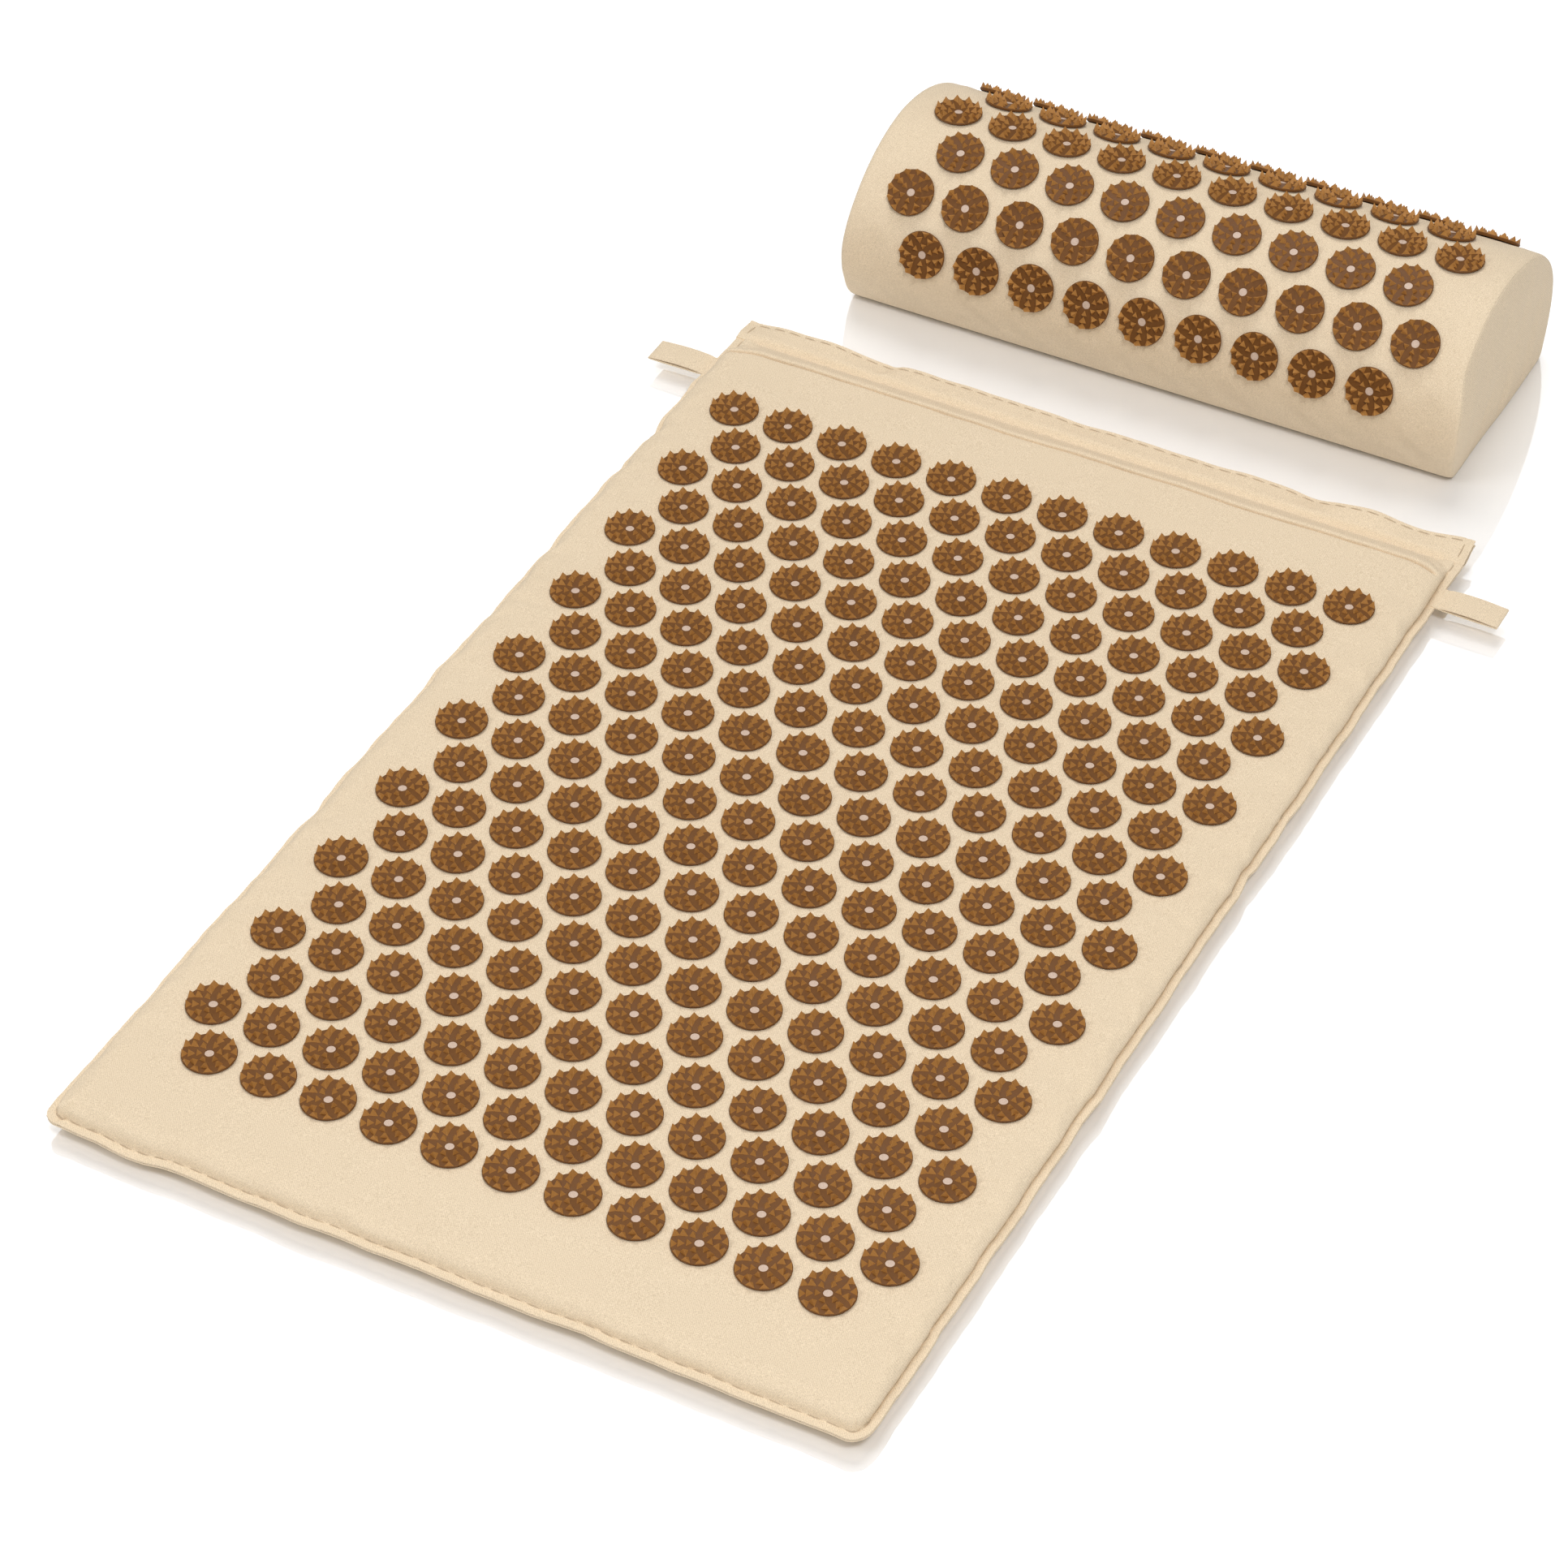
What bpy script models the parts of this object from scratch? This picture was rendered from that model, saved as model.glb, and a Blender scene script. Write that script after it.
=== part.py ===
"""Acupressure mat with its half-round neck pillow, lying flat on a floor.

Metres, +Z up. The origin is the centre of the mat's underside: +X across the
mat, +Y towards its head end, where the pillow lies. The mat is a fabric cover
with a sewn edge around a thin foam pad, and carries 230 round spike discs in
20 staggered rows of 12 and 11. The pillow is a D-shaped foam block in a zipped
fabric sleeve with 66 discs in 7 rows of 9 and 10.
"""

import math

import bmesh
import bpy
from mathutils import Matrix, Vector

MM = 0.001
GAP = 0.3 * MM  # between faces that touch on the real object
CLOTH = 0.8 * MM  # cover fabric with its backing

# ---- discs
PITCH = 32.0 * MM  # disc to disc along a row
ROW_PITCH = 28.2 * MM  # row to row
MAT_ROWS = 20  # rows of 12 and 11, starting with 12 at the head
DISC_R = 13.1 * MM
DISC_TOP_R = 12.7 * MM
DISC_H = 4.6 * MM  # 1.6 mm plate and 3 mm spikes
FILM_H = 0.7 * MM  # bonding film that joins the discs of one row
MAT_ROW_1_Y = 257.8 * MM

# ---- mat
HALF_W = 211.0 * MM
FOOT_Y = -341.6 * MM
HEAD_Y = 341.6 * MM  # free edge of the head flap
FLAP_Y = 325.0 * MM  # inner stitch line, where the flap starts
SEAM_Z = 9.5 * MM  # mid height of the sewn edge
TOP_Z = 17.3 * MM
FOAM_TOP = 16.2 * MM
FOAM_BOTTOM = 1.1 * MM
EDGE = 5.5 * MM  # width of the flat sewn edge
HEAD_EDGE = 10.2 * MM  # unfilled strip between foam end and flap stitch line
CORNER_R = 15.0 * MM
FOLD_Y = MAT_ROW_1_Y - 9.5 * ROW_PITCH  # between disc rows 10 and 11
FOLD_Z = 22.7 * MM  # half a millimetre above the spike tips
FOLD_GAP = 0.6 * MM

# ---- tabs
TAB_W = 16.0 * MM
TAB_Y = 295.6 * MM
TAB_END_X = 245.0 * MM
TAB_T = 2.0 * MM

# ---- pillow
P_Y = 459.1 * MM  # centre line
P_HALF = 176.0 * MM  # half length between the end panels
P_FRONT_W = 75.0 * MM  # from the centre line to the widest point, towards the mat
P_BACK_W = 73.6 * MM  # and away from it
P_BASE_W = 62.7 * MM  # half width on the floor
P_WIDE_Z = 38.4 * MM
P_H = 92.8 * MM
P_CROWN_Y = -6.0 * MM  # the foam block leans a little towards the mat
P_ARCH = 1.87  # 2 would make each side of the arch a quarter ellipse
P_PITCH = 32.5 * MM
P_ROW_ARC = 29.8 * MM  # row to row, along the curve
P_MIDDLE_ROW = 7.2 * MM  # the fourth row lies this far behind the crown
P_ROWS = 7
P_END_BULGE = 5.5 * MM
ZIP_Z0 = 2.0 * MM
ZIP_Z1 = 27.0 * MM

FABRIC = ((0.80, 0.66, 0.46), 0.92, 0.0)
FOAM = ((0.86, 0.84, 0.74), 0.95, 0.0)
PLASTIC = ((0.235, 0.104, 0.031), 0.42, 0.0)
TAPE = ((0.74, 0.63, 0.46), 0.9, 0.0)
ZIP_TAPE = ((0.66, 0.53, 0.36), 0.85, 0.0)
COIL = ((0.60, 0.48, 0.32), 0.5, 0.0)
METAL = ((0.55, 0.52, 0.47), 0.32, 1.0)


def finish(obj, look, smooth=None):
    """Gives the object its own material, and smooth shading up to an angle."""
    colour, rough, metal = look
    mat = bpy.data.materials.new(obj.name)
    mat.use_nodes = True
    shader = mat.node_tree.nodes["Principled BSDF"]
    shader.inputs["Base Color"].default_value = (*colour, 1.0)
    shader.inputs["Roughness"].default_value = rough
    shader.inputs["Metallic"].default_value = metal
    mat.diffuse_color = (*colour, 1.0)
    obj.data.materials.append(mat)
    if smooth:
        obj.data.shade_smooth()
        obj.data.set_sharp_from_angle(angle=math.radians(smooth))
    return obj


def object_from(name, bm, parent=None, at=(0, 0, 0), turn=None):
    bmesh.ops.recalc_face_normals(bm, faces=bm.faces[:])
    mesh = bpy.data.meshes.new(name)
    bm.to_mesh(mesh)
    bm.free()
    obj = bpy.data.objects.new(name, mesh)
    bpy.context.scene.collection.objects.link(obj)
    obj.location = at
    if turn is not None:
        obj.rotation_euler = turn
    if parent is not None:
        obj.parent = parent
    return obj


def pivot(name, at, parent=None):
    """An empty on a joint's axis, which carries the pieces that move with it."""
    empty = bpy.data.objects.new(name, None)
    empty.empty_display_size = 0.02
    bpy.context.scene.collection.objects.link(empty)
    empty.location = at
    empty.parent = parent
    return empty


def loft(bm, rings):
    """Joins closed rings of equally many points, the last ring to the first."""
    made = [[bm.verts.new(p) for p in ring] for ring in rings]
    count = len(made[0])
    for a, b in zip(made, made[1:]):
        for i in range(count):
            j = (i + 1) % count
            bm.faces.new((a[i], a[j], b[j], b[i]))
    return made


def close_pair(bm, a, b):
    for i in range(len(a)):
        j = (i + 1) % len(a)
        bm.faces.new((a[i], a[j], b[j], b[i]))


def add_box(bm, low, high):
    """A box between two corners, appended to bm."""
    size = [h - l for l, h in zip(low, high)]
    mid = [(h + l) / 2 for l, h in zip(low, high)]
    bmesh.ops.create_cube(
        bm,
        size=1.0,
        matrix=Matrix.Translation(mid) @ Matrix.Diagonal((*size, 1.0)),
    )


def box_object(name, low, high, **place):
    bm = bmesh.new()
    add_box(bm, low, high)
    return object_from(name, bm, **place)


def helper(obj):
    obj.hide_render = True
    obj.display_type = "WIRE"
    return obj


def boolean(obj, other, operation):
    cut = obj.modifiers.new(operation.lower(), "BOOLEAN")
    cut.operation = operation
    cut.solver = "EXACT"
    cut.object = other
    return obj


def round_rect(half_w, y0, y1, r0, r1, z, steps=4):
    """A ring around a rectangle with corner radius r0 at y0 and r1 at y1."""
    points = []
    corners = (
        (half_w - r0, y0 + r0, r0, -90),
        (half_w - r1, y1 - r1, r1, 0),
        (-half_w + r1, y1 - r1, r1, 90),
        (-half_w + r0, y0 + r0, r0, 180),
    )
    for cx, cy, r, start in corners:
        for k in range(steps + 1):
            a = math.radians(start + 90 * k / steps)
            points.append((cx + r * math.cos(a), cy + r * math.sin(a), z))
    return points


def cover_half(name, up, keep_head, parent):
    """One cover panel: flat sewn edge, rounded rise and flat field, cut at the fold."""
    sign = 1 if up else -1
    depth = TOP_Z - (SEAM_Z + GAP / 2 + CLOTH) if up else SEAM_Z - GAP / 2 - CLOTH

    def ring(inset, head_inset, z):
        r0 = max(CORNER_R - inset, 4 * MM)
        r1 = 0.8 * MM + min(inset, 10 * MM)
        return round_rect(
            HALF_W - inset, FOOT_Y + inset, FLAP_Y - head_inset, r0, r1, z
        )

    seam_in = SEAM_Z + sign * GAP / 2
    seam_out = seam_in + sign * CLOTH
    outer = [ring(0, 0, seam_in), ring(0, 0, seam_out)]
    inner = []
    for t in (0.0, 0.12, 0.45, 1.0):
        rise = depth * math.sqrt(1 - (1 - t) ** 2)
        inset = EDGE + 10 * MM * t
        head = HEAD_EDGE + 9 * MM * t
        outer.append(ring(inset, head, seam_out + sign * rise))
        inner.append(
            ring(
                inset + CLOTH * (1.3 - t),
                head + CLOTH * (1.3 - t),
                seam_in + sign * rise * (1 - 0.06 * (1 - t)) if t else seam_in,
            )
        )
    bm = bmesh.new()
    made = loft(bm, outer)
    made_in = loft(bm, inner)
    close_pair(bm, made[0], made_in[0])
    bm.faces.new(made[-1])
    bm.faces.new(made_in[-1])
    obj = object_from(name, bm, parent=parent, at=-Vector(parent.location))
    return finish(boolean(obj, HALVES[keep_head], "DIFFERENCE"), FABRIC, 35)


def foam_half(name, keep_head, parent):
    """The foam pad: a plate with chamfered edges, cut at the fold."""
    rings = []
    for inset, z in (
        (16.0 * MM, FOAM_BOTTOM),
        (10.5 * MM, 4.6 * MM),
        (10.5 * MM, 12.6 * MM),
        (16.2 * MM, FOAM_TOP),
    ):
        head = FLAP_Y - HEAD_EDGE - (inset - EDGE)
        rings.append(
            round_rect(HALF_W - inset, FOOT_Y + inset, head, 6 * MM, 9 * MM, z, 3)
        )
    bm = bmesh.new()
    made = loft(bm, rings)
    bm.faces.new(made[0])
    bm.faces.new(made[-1])
    obj = object_from(name, bm, parent=parent, at=-Vector(parent.location))
    return finish(boolean(obj, HALVES[keep_head], "DIFFERENCE"), FOAM, 35)


def disc_row(name, count, pitch, parent, at, turn=None):
    """A row of eight-sided discs on one bonding film.

    Each disc is a low frustum that holds its spikes, and a flat link joins its
    foot to the next disc's.
    """
    bm = bmesh.new()
    share = FILM_H / DISC_H
    corner = [math.radians(22.5 + 45 * k) for k in range(8)]

    def at_height(x, k, s):
        r = (DISC_R + (DISC_TOP_R - DISC_R) * s) / math.cos(math.radians(22.5)) * 0.985
        return bm.verts.new(
            (x + r * math.cos(corner[k]), r * math.sin(corner[k]), s * DISC_H)
        )

    last = None
    for i in range(count):
        x = (i - (count - 1) / 2) * pitch
        foot = [at_height(x, k, 0.0) for k in range(8)]
        top = [at_height(x, k, 1.0) for k in range(8)]
        mid = {}
        if i < count - 1:
            mid.update({k: at_height(x, k, share) for k in (7, 0)})
        if i > 0:
            mid.update({k: at_height(x, k, share) for k in (3, 4)})
        bm.faces.new(foot)
        bm.faces.new(top)
        for k in range(8):
            n = (k + 1) % 8
            linked = (k, n) in ((7, 0), (3, 4)) and k in mid
            low = [mid[k], mid[n]] if linked else [foot[k], foot[n]]
            face = list(low)
            if not linked and n in mid:
                face.append(mid[n])
            face += [top[n], top[k]]
            if not linked and k in mid:
                face.append(mid[k])
            bm.faces.new(face)
        if last:
            lf, lm = last
            bm.faces.new((lf[7], lf[0], foot[3], foot[4]))
            bm.faces.new((lm[7], lm[0], mid[3], mid[4]))
            bm.faces.new((lf[0], lm[0], mid[3], foot[3]))
            bm.faces.new((lf[7], lm[7], mid[4], foot[4]))
        last = (foot, mid)
    obj = object_from(name, bm, parent=parent, at=at, turn=turn)
    return finish(obj, PLASTIC, 30)


# ---- pillow section, as (y, z) from the pillow's centre line on the floor


def side_y(z, widest=P_BACK_W):
    """Half width of the section at a height below its widest."""
    t = (P_WIDE_Z - z) / P_WIDE_Z
    return P_BASE_W + (widest - P_BASE_W) * math.cos(t * math.pi / 2)


def arch(a):
    """(y, z) and outward normal on the arch, from a = 0 at the front to pi at the back."""
    back = a > math.pi / 2
    half = P_BACK_W - P_CROWN_Y if back else P_FRONT_W + P_CROWN_Y
    rise = P_H - P_WIDE_Z
    across = max(0.0, abs(math.cos(a))) ** (2 / P_ARCH)
    up = max(0.0, math.sin(a)) ** (2 / P_ARCH)
    side = 1 if back else -1
    normal = Vector(
        (side * across ** (P_ARCH - 1) / half, up ** (P_ARCH - 1) / rise)
    ).normalized()
    return P_CROWN_Y + side * half * across, P_WIDE_Z + rise * up, normal


def section(z_front, z_back, inward, arch_steps=14, side_steps=3):
    """Points from the front lower edge over the top to the back lower edge."""

    def lower(z, sign):
        widest = P_BACK_W if sign > 0 else P_FRONT_W
        t = (P_WIDE_Z - z) / P_WIDE_Z
        slope = (widest - P_BASE_W) * math.sin(t * math.pi / 2) * math.pi / 2 / P_WIDE_Z
        length = math.hypot(1, slope)
        return (
            sign * (side_y(z, widest) - inward / length),
            z + inward * slope / length,
        )

    points = [
        lower(z_front + (P_WIDE_Z - z_front) * k / side_steps, -1)
        for k in range(side_steps)
    ]
    for k in range(arch_steps + 1):
        y, z, normal = arch(math.pi * k / arch_steps)
        points.append((y - inward * normal.x, z - inward * normal.y))
    points += [
        lower(z_back + (P_WIDE_Z - z_back) * k / side_steps, 1)
        for k in reversed(range(side_steps))
    ]
    return points


def prism(name, points, half, look, parent, smooth=30):
    """The polygon of (y, z) points, extruded along X to both sides."""
    bm = bmesh.new()
    a = [bm.verts.new((-half, y, z)) for y, z in points]
    face = bm.faces.new(a)
    grown = bmesh.ops.extrude_face_region(bm, geom=[face])
    moved = [g for g in grown["geom"] if isinstance(g, bmesh.types.BMVert)]
    bmesh.ops.translate(bm, verts=moved, vec=(2 * half, 0, 0))
    return finish(object_from(name, bm, parent=parent), look, smooth)


def end_panel(name, sign, parent):
    """A domed D-shaped panel that closes one end of the pillow."""
    outline = section(0.6 * MM, 0.6 * MM, 0.2 * MM, 14, 3)
    centre = Vector((0, 0.42 * P_H))
    rings = []
    levels = ((1.0, 0.0), (0.86, 0.55), (0.55, 0.93), (0.2, 1.0))
    start = P_HALF + GAP
    for share, rise in levels:
        rings.append((share, start + CLOTH + P_END_BULGE * rise))
    for share, rise in reversed(levels):
        rings.append((share * 0.995, start + P_END_BULGE * rise))
    made = []
    bm = bmesh.new()
    for share, x in rings:
        ring = []
        for y, z in outline:
            p = centre + (Vector((y, z)) - centre) * share
            ring.append((sign * x, p.x, p.y))
        made.append(ring)
    made = loft(bm, made[:4]), loft(bm, made[4:])
    close_pair(bm, made[0][0], made[1][-1])
    bm.faces.new(made[0][-1])
    bm.faces.new(made[1][0])
    return finish(object_from(name, bm, parent=parent), FABRIC, 30)


# ---- zip along the pillow's back lower edge, in a flat frame (x, u, w):
# u climbs the band from its lower edge, w points out of the pillow

BAND_0 = Vector((side_y(ZIP_Z0), ZIP_Z0))
BAND_1 = Vector((side_y(ZIP_Z1), ZIP_Z1))
BAND_L = (BAND_1 - BAND_0).length
BAND_TILT = math.atan2(BAND_1.y - BAND_0.y, BAND_1.x - BAND_0.x)


def zip_object(name, boxes, look, parent, shift=0.0, smooth=None):
    """Boxes in (x, u, w) on the band, joined where there are more than one."""
    bm = bmesh.new()
    add_box(bm, *boxes[0])
    place = dict(
        parent=parent,
        at=(shift, BAND_0.x, BAND_0.y),
        turn=(BAND_TILT, 0, 0),
    )
    obj = object_from(name, bm, **place)
    for k, other in enumerate(boxes[1:]):
        tool = helper(box_object(f"{name}_part_{k + 2}", *other, **place))
        boolean(obj, tool, "UNION")
    return finish(obj, look, smooth)


def at_w(w):
    """On the band, local +Y is u, and local -Z points out of the pillow."""
    return -w


def zbox(x0, x1, u0, u1, w0, w1):
    return (
        (x0 * MM, u0 * MM, at_w(w1) * MM),
        (x1 * MM, u1 * MM, at_w(w0) * MM),
    )


for old in list(bpy.data.objects):
    bpy.data.objects.remove(old)

scene = bpy.context.scene
scene.unit_settings.system = "METRIC"
scene.unit_settings.scale_length = 1.0

# Pivots: each moving group hangs from an empty on its joint's axis.
mat = pivot("mat", (0, 0, 0))
fold = pivot("mat_fold_axis", (0, FOLD_Y, FOLD_Z))
flap = pivot("head_flap_axis", (0, FLAP_Y + GAP / 2, SEAM_Z + 2.1 * MM))
tab_right = pivot("right_tab_axis", (HALF_W + GAP / 2, TAB_Y, SEAM_Z + 1.2 * MM))
tab_left = pivot("left_tab_axis", (-HALF_W - GAP / 2, TAB_Y, SEAM_Z + 1.2 * MM))
pillow = pivot("pillow", (0, P_Y, 0))

# Cutters that keep one side of the fold.
REACH = 0.6
HALVES = {
    True: helper(
        box_object(
            "keep_head_half",
            (-REACH, FOLD_Y - REACH, -0.1),
            (REACH, FOLD_Y + FOLD_GAP / 2, 0.1),
        )
    ),
    False: helper(
        box_object(
            "keep_foot_half",
            (-REACH, FOLD_Y - FOLD_GAP / 2, -0.1),
            (REACH, FOLD_Y + REACH, 0.1),
        )
    ),
}

# ---- mat: covers, foam
for half, keep_head, carrier in (("head", True, mat), ("foot", False, fold)):
    cover_half(f"mat_top_cover_{half}_half", True, keep_head, carrier)
    cover_half(f"mat_bottom_cover_{half}_half", False, keep_head, carrier)
    foam_half(f"mat_foam_{half}_half", keep_head, carrier)

# ---- mat: 20 rows of discs, row 1 at the head
for j in range(MAT_ROWS):
    y = MAT_ROW_1_Y - j * ROW_PITCH
    carrier = mat if j < MAT_ROWS / 2 else fold
    where = Vector((0, y, TOP_Z + GAP)) - Vector(carrier.location)
    disc_row(f"mat_disc_row_{j + 1:02d}", 12 - j % 2, PITCH, carrier, where)

# ---- head flap: two hemmed lips closed by hook-and-loop tape
lip = HALF_W
y0, y1 = FLAP_Y + GAP, HEAD_Y
for name, half_w, ya, yb, za, zb, look in (
    ("mouth_upper_lip", lip, y0, y1, 1.15, 1.95, FABRIC),
    ("mouth_hook_tape", lip - 8 * MM, y0 + 1.2 * MM, y1 - 1.6 * MM, 0.15, 0.85, TAPE),
    ("mouth_loop_tape", lip - 8 * MM, y0 + 1.2 * MM, y1 - 1.6 * MM, -0.85, -0.15, TAPE),
    ("mouth_lower_lip", lip, y0, y1, -1.95, -1.15, FABRIC),
):
    here = Vector(flap.location)
    low = Vector((-half_w, ya, SEAM_Z + za * MM)) - here
    high = Vector((half_w, yb, SEAM_Z + zb * MM)) - here
    finish(box_object(name, low, high, parent=flap), look)

# ---- tabs: strips of cover fabric, doubled, sewn into the side seams
for name, sign, carrier in (("right_tab", 1, tab_right), ("left_tab", -1, tab_left)):
    here = Vector(carrier.location)
    xs = sorted((sign * (HALF_W + GAP), sign * TAB_END_X))
    low = Vector((xs[0], TAB_Y - TAB_W / 2, SEAM_Z - TAB_T / 2)) - here
    high = Vector((xs[1], TAB_Y + TAB_W / 2, SEAM_Z + TAB_T / 2)) - here
    strip = finish(box_object(name, low, high, parent=carrier), FABRIC)
    soft = strip.modifiers.new("rounded_fold", "BEVEL")
    soft.width = 0.6 * MM
    soft.segments = 2

# ---- pillow: foam, sleeve, panels
sleeve_outer = section(1.1 * MM, ZIP_Z1 + 0.6 * MM, 0.0, 16, 3)
sleeve_inner = section(1.1 * MM, ZIP_Z1 + 0.6 * MM, CLOTH, 16, 3)
prism(
    "pillow_sleeve", sleeve_outer + sleeve_inner[::-1], P_HALF, FABRIC, pillow
)

foam_line = section(1.6 * MM, ZIP_Z1 + 3 * MM, CLOTH + GAP + 0.2 * MM, 16, 2)
foam_line += [
    (BAND_1.x - 4.6 * MM, ZIP_Z1 + 1.5 * MM),
    (BAND_0.x - 4.6 * MM, 1.6 * MM),
]
prism("pillow_foam", foam_line, P_HALF - 0.5 * MM, FOAM, pillow)

base = box_object(
    "pillow_base_panel",
    (-P_HALF, -P_BASE_W + 0.1 * MM, 0.0),
    (P_HALF, P_BASE_W - 0.3 * MM, CLOTH),
    parent=pillow,
)
finish(base, FABRIC)
end_panel("pillow_right_end_panel", 1, pillow)
end_panel("pillow_left_end_panel", -1, pillow)

# ---- pillow: rows of discs over the curve, row 1 low at the front


def arch_point(distance):
    """(y, z) and normal at that arc length behind the arch's crown."""
    a, gone = math.pi / 2, 0.0
    step = 1e-3 if distance > 0 else -1e-3
    here = Vector(arch(a)[:2])
    while gone < abs(distance):
        a += step
        there = Vector(arch(a)[:2])
        gone += (there - here).length
        here = there
    return arch(a)


for j in range(P_ROWS):
    y, z, normal = arch_point(P_MIDDLE_ROW + (j - (P_ROWS - 1) / 2) * P_ROW_ARC)
    tilt = math.atan2(-normal.x, normal.y)
    disc_row(
        f"pillow_disc_row_{j + 1}",
        9 + j % 2,
        P_PITCH,
        pillow,
        (0, y + normal.x * GAP, z + normal.y * GAP),
        (tilt, 0, 0),
    )

# ---- pillow: zip
L = P_HALF / MM - 0.6
U = BAND_L / MM
M = U / 2
zip_object(
    "pillow_zip_lower_tape", [zbox(-L, L, 0, M - 1.4, -0.7, 0)], ZIP_TAPE, pillow
)
zip_object(
    "pillow_zip_upper_tape", [zbox(-L, L, M + 1.4, U, -0.7, 0)], ZIP_TAPE, pillow
)
zip_object(
    "pillow_zip_lower_coil", [zbox(-L, L, M - 2.6, M - 0.65, 0.3, 1.5)], COIL, pillow
)
zip_object(
    "pillow_zip_upper_coil", [zbox(-L, L, M + 0.65, M + 2.6, 0.3, 1.5)], COIL, pillow
)

ZIP_X = -162.0 * MM  # the slider's closed end
slider_axis = pivot("zip_slider_axis", (ZIP_X, 0, 0), pillow)
zip_object(
    "pillow_zip_slider",
    [
        zbox(-5, 5, M - 4.6, M + 4.6, 1.8, 2.8),
        zbox(-4.4, 4.4, M - 4.4, M + 4.4, -2.1, -1.1),
        zbox(1.6, 3.2, M - 0.3, M + 0.3, -1.5, 2.2),
        zbox(-4.6, 4.6, M - 4.6, M - 3.8, 0.4, 2.2),
        zbox(-4.6, 4.6, M + 3.8, M + 4.6, 0.4, 2.2),
        zbox(-3.6, -2.4, M - 1, M + 1, 2.4, 5.6),
        zbox(2.4, 3.6, M - 1, M + 1, 2.4, 5.6),
        zbox(-3.6, 3.6, M - 1, M + 1, 4.8, 5.8),
    ],
    METAL,
    slider_axis,
)
pull_axis = pivot("zip_pull_axis", (0, 0, 0), slider_axis)
zip_object(
    "pillow_zip_pull",
    [
        zbox(-0.5, 0.5, M - 3.0, M + 3.0, 3.3, 4.3),
        zbox(-0.5, 9.0, M - 3.2, M - 1.5, 3.3, 4.3),
        zbox(-0.5, 9.0, M + 1.5, M + 3.2, 3.3, 4.3),
        zbox(8.0, 24.0, M - 3.2, M + 3.2, 3.3, 4.3),
    ],
    METAL,
    pull_axis,
)
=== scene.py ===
import math

import bmesh
import bpy
import numpy as np
from mathutils import Matrix, Vector
from mathutils.bvhtree import BVHTree


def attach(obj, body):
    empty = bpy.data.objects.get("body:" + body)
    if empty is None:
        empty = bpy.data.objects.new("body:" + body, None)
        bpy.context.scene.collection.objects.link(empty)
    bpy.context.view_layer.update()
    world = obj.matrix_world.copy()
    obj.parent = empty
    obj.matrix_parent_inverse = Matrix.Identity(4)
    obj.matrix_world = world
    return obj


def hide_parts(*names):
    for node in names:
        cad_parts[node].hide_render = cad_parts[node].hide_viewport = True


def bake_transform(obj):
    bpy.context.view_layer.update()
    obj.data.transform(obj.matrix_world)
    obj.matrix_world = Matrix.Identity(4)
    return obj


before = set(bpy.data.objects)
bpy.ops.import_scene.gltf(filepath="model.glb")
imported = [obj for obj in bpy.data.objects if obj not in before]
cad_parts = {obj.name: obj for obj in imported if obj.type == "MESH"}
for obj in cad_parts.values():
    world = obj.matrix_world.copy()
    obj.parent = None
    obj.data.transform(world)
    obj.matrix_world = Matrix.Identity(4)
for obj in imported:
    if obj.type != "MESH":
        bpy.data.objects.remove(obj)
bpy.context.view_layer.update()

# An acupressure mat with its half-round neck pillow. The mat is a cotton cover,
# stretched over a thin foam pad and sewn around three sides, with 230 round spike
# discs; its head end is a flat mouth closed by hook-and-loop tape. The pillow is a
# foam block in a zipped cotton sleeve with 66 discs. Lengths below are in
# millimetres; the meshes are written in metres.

MM = 0.001
scene = bpy.context.scene

# ------------------------------------------------------------------ camera

camera_data = bpy.data.cameras.new("camera")
camera_data.lens = 118.09
camera_data.sensor_width = 36.0
camera = bpy.data.objects.new("camera", camera_data)
scene.collection.objects.link(camera)
forward = Vector((-0.35341, 0.65686, -0.66607)).normalized()
right = Vector((0.88316, 0.46904, -0.00605)).normalized()
up = right.cross(forward).normalized()
right = forward.cross(up).normalized()
camera.matrix_world = Matrix(
    (
        (right.x, up.x, -forward.x, 0.86779),
        (right.y, up.y, -forward.y, -1.63023),
        (right.z, up.z, -forward.z, 1.67980),
        (0, 0, 0, 1),
    )
)
camera_data.clip_start = 0.05
camera_data.clip_end = 60.0
scene.camera = camera

# ------------------------------------------------------------------ sizes

PITCH, ROW_PITCH, ROW_1_Y = 32.0, 28.2, 257.8
DISC_R, PLATE = 13.1, 1.6
HALF_W, FOOT_Y, FLAP_Y, HEAD_Y = 211.0, -341.6, 325.0, 341.6
SEAM_Z, TOP_Z, CLOTH, GAP = 9.5, 17.3, 0.8, 0.3
CORNER_R = 9.8
FOLD_Y = ROW_1_Y - 9.5 * ROW_PITCH
STITCH = 4.4  # stitch line, inside the sewn edge

P_Y, P_HALF = 459.1, 176.0
P_FRONT_W, P_BACK_W, P_BASE_W = 75.0, 73.6, 62.7
P_WIDE_Z, P_H, P_CROWN_Y, P_ARCH = 38.4, 92.8, -6.0, 1.87
P_PITCH, P_ROW_ARC, P_MIDDLE_ROW = 32.5, 29.8, 7.2

# ------------------------------------------------------------------ node helpers


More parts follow.
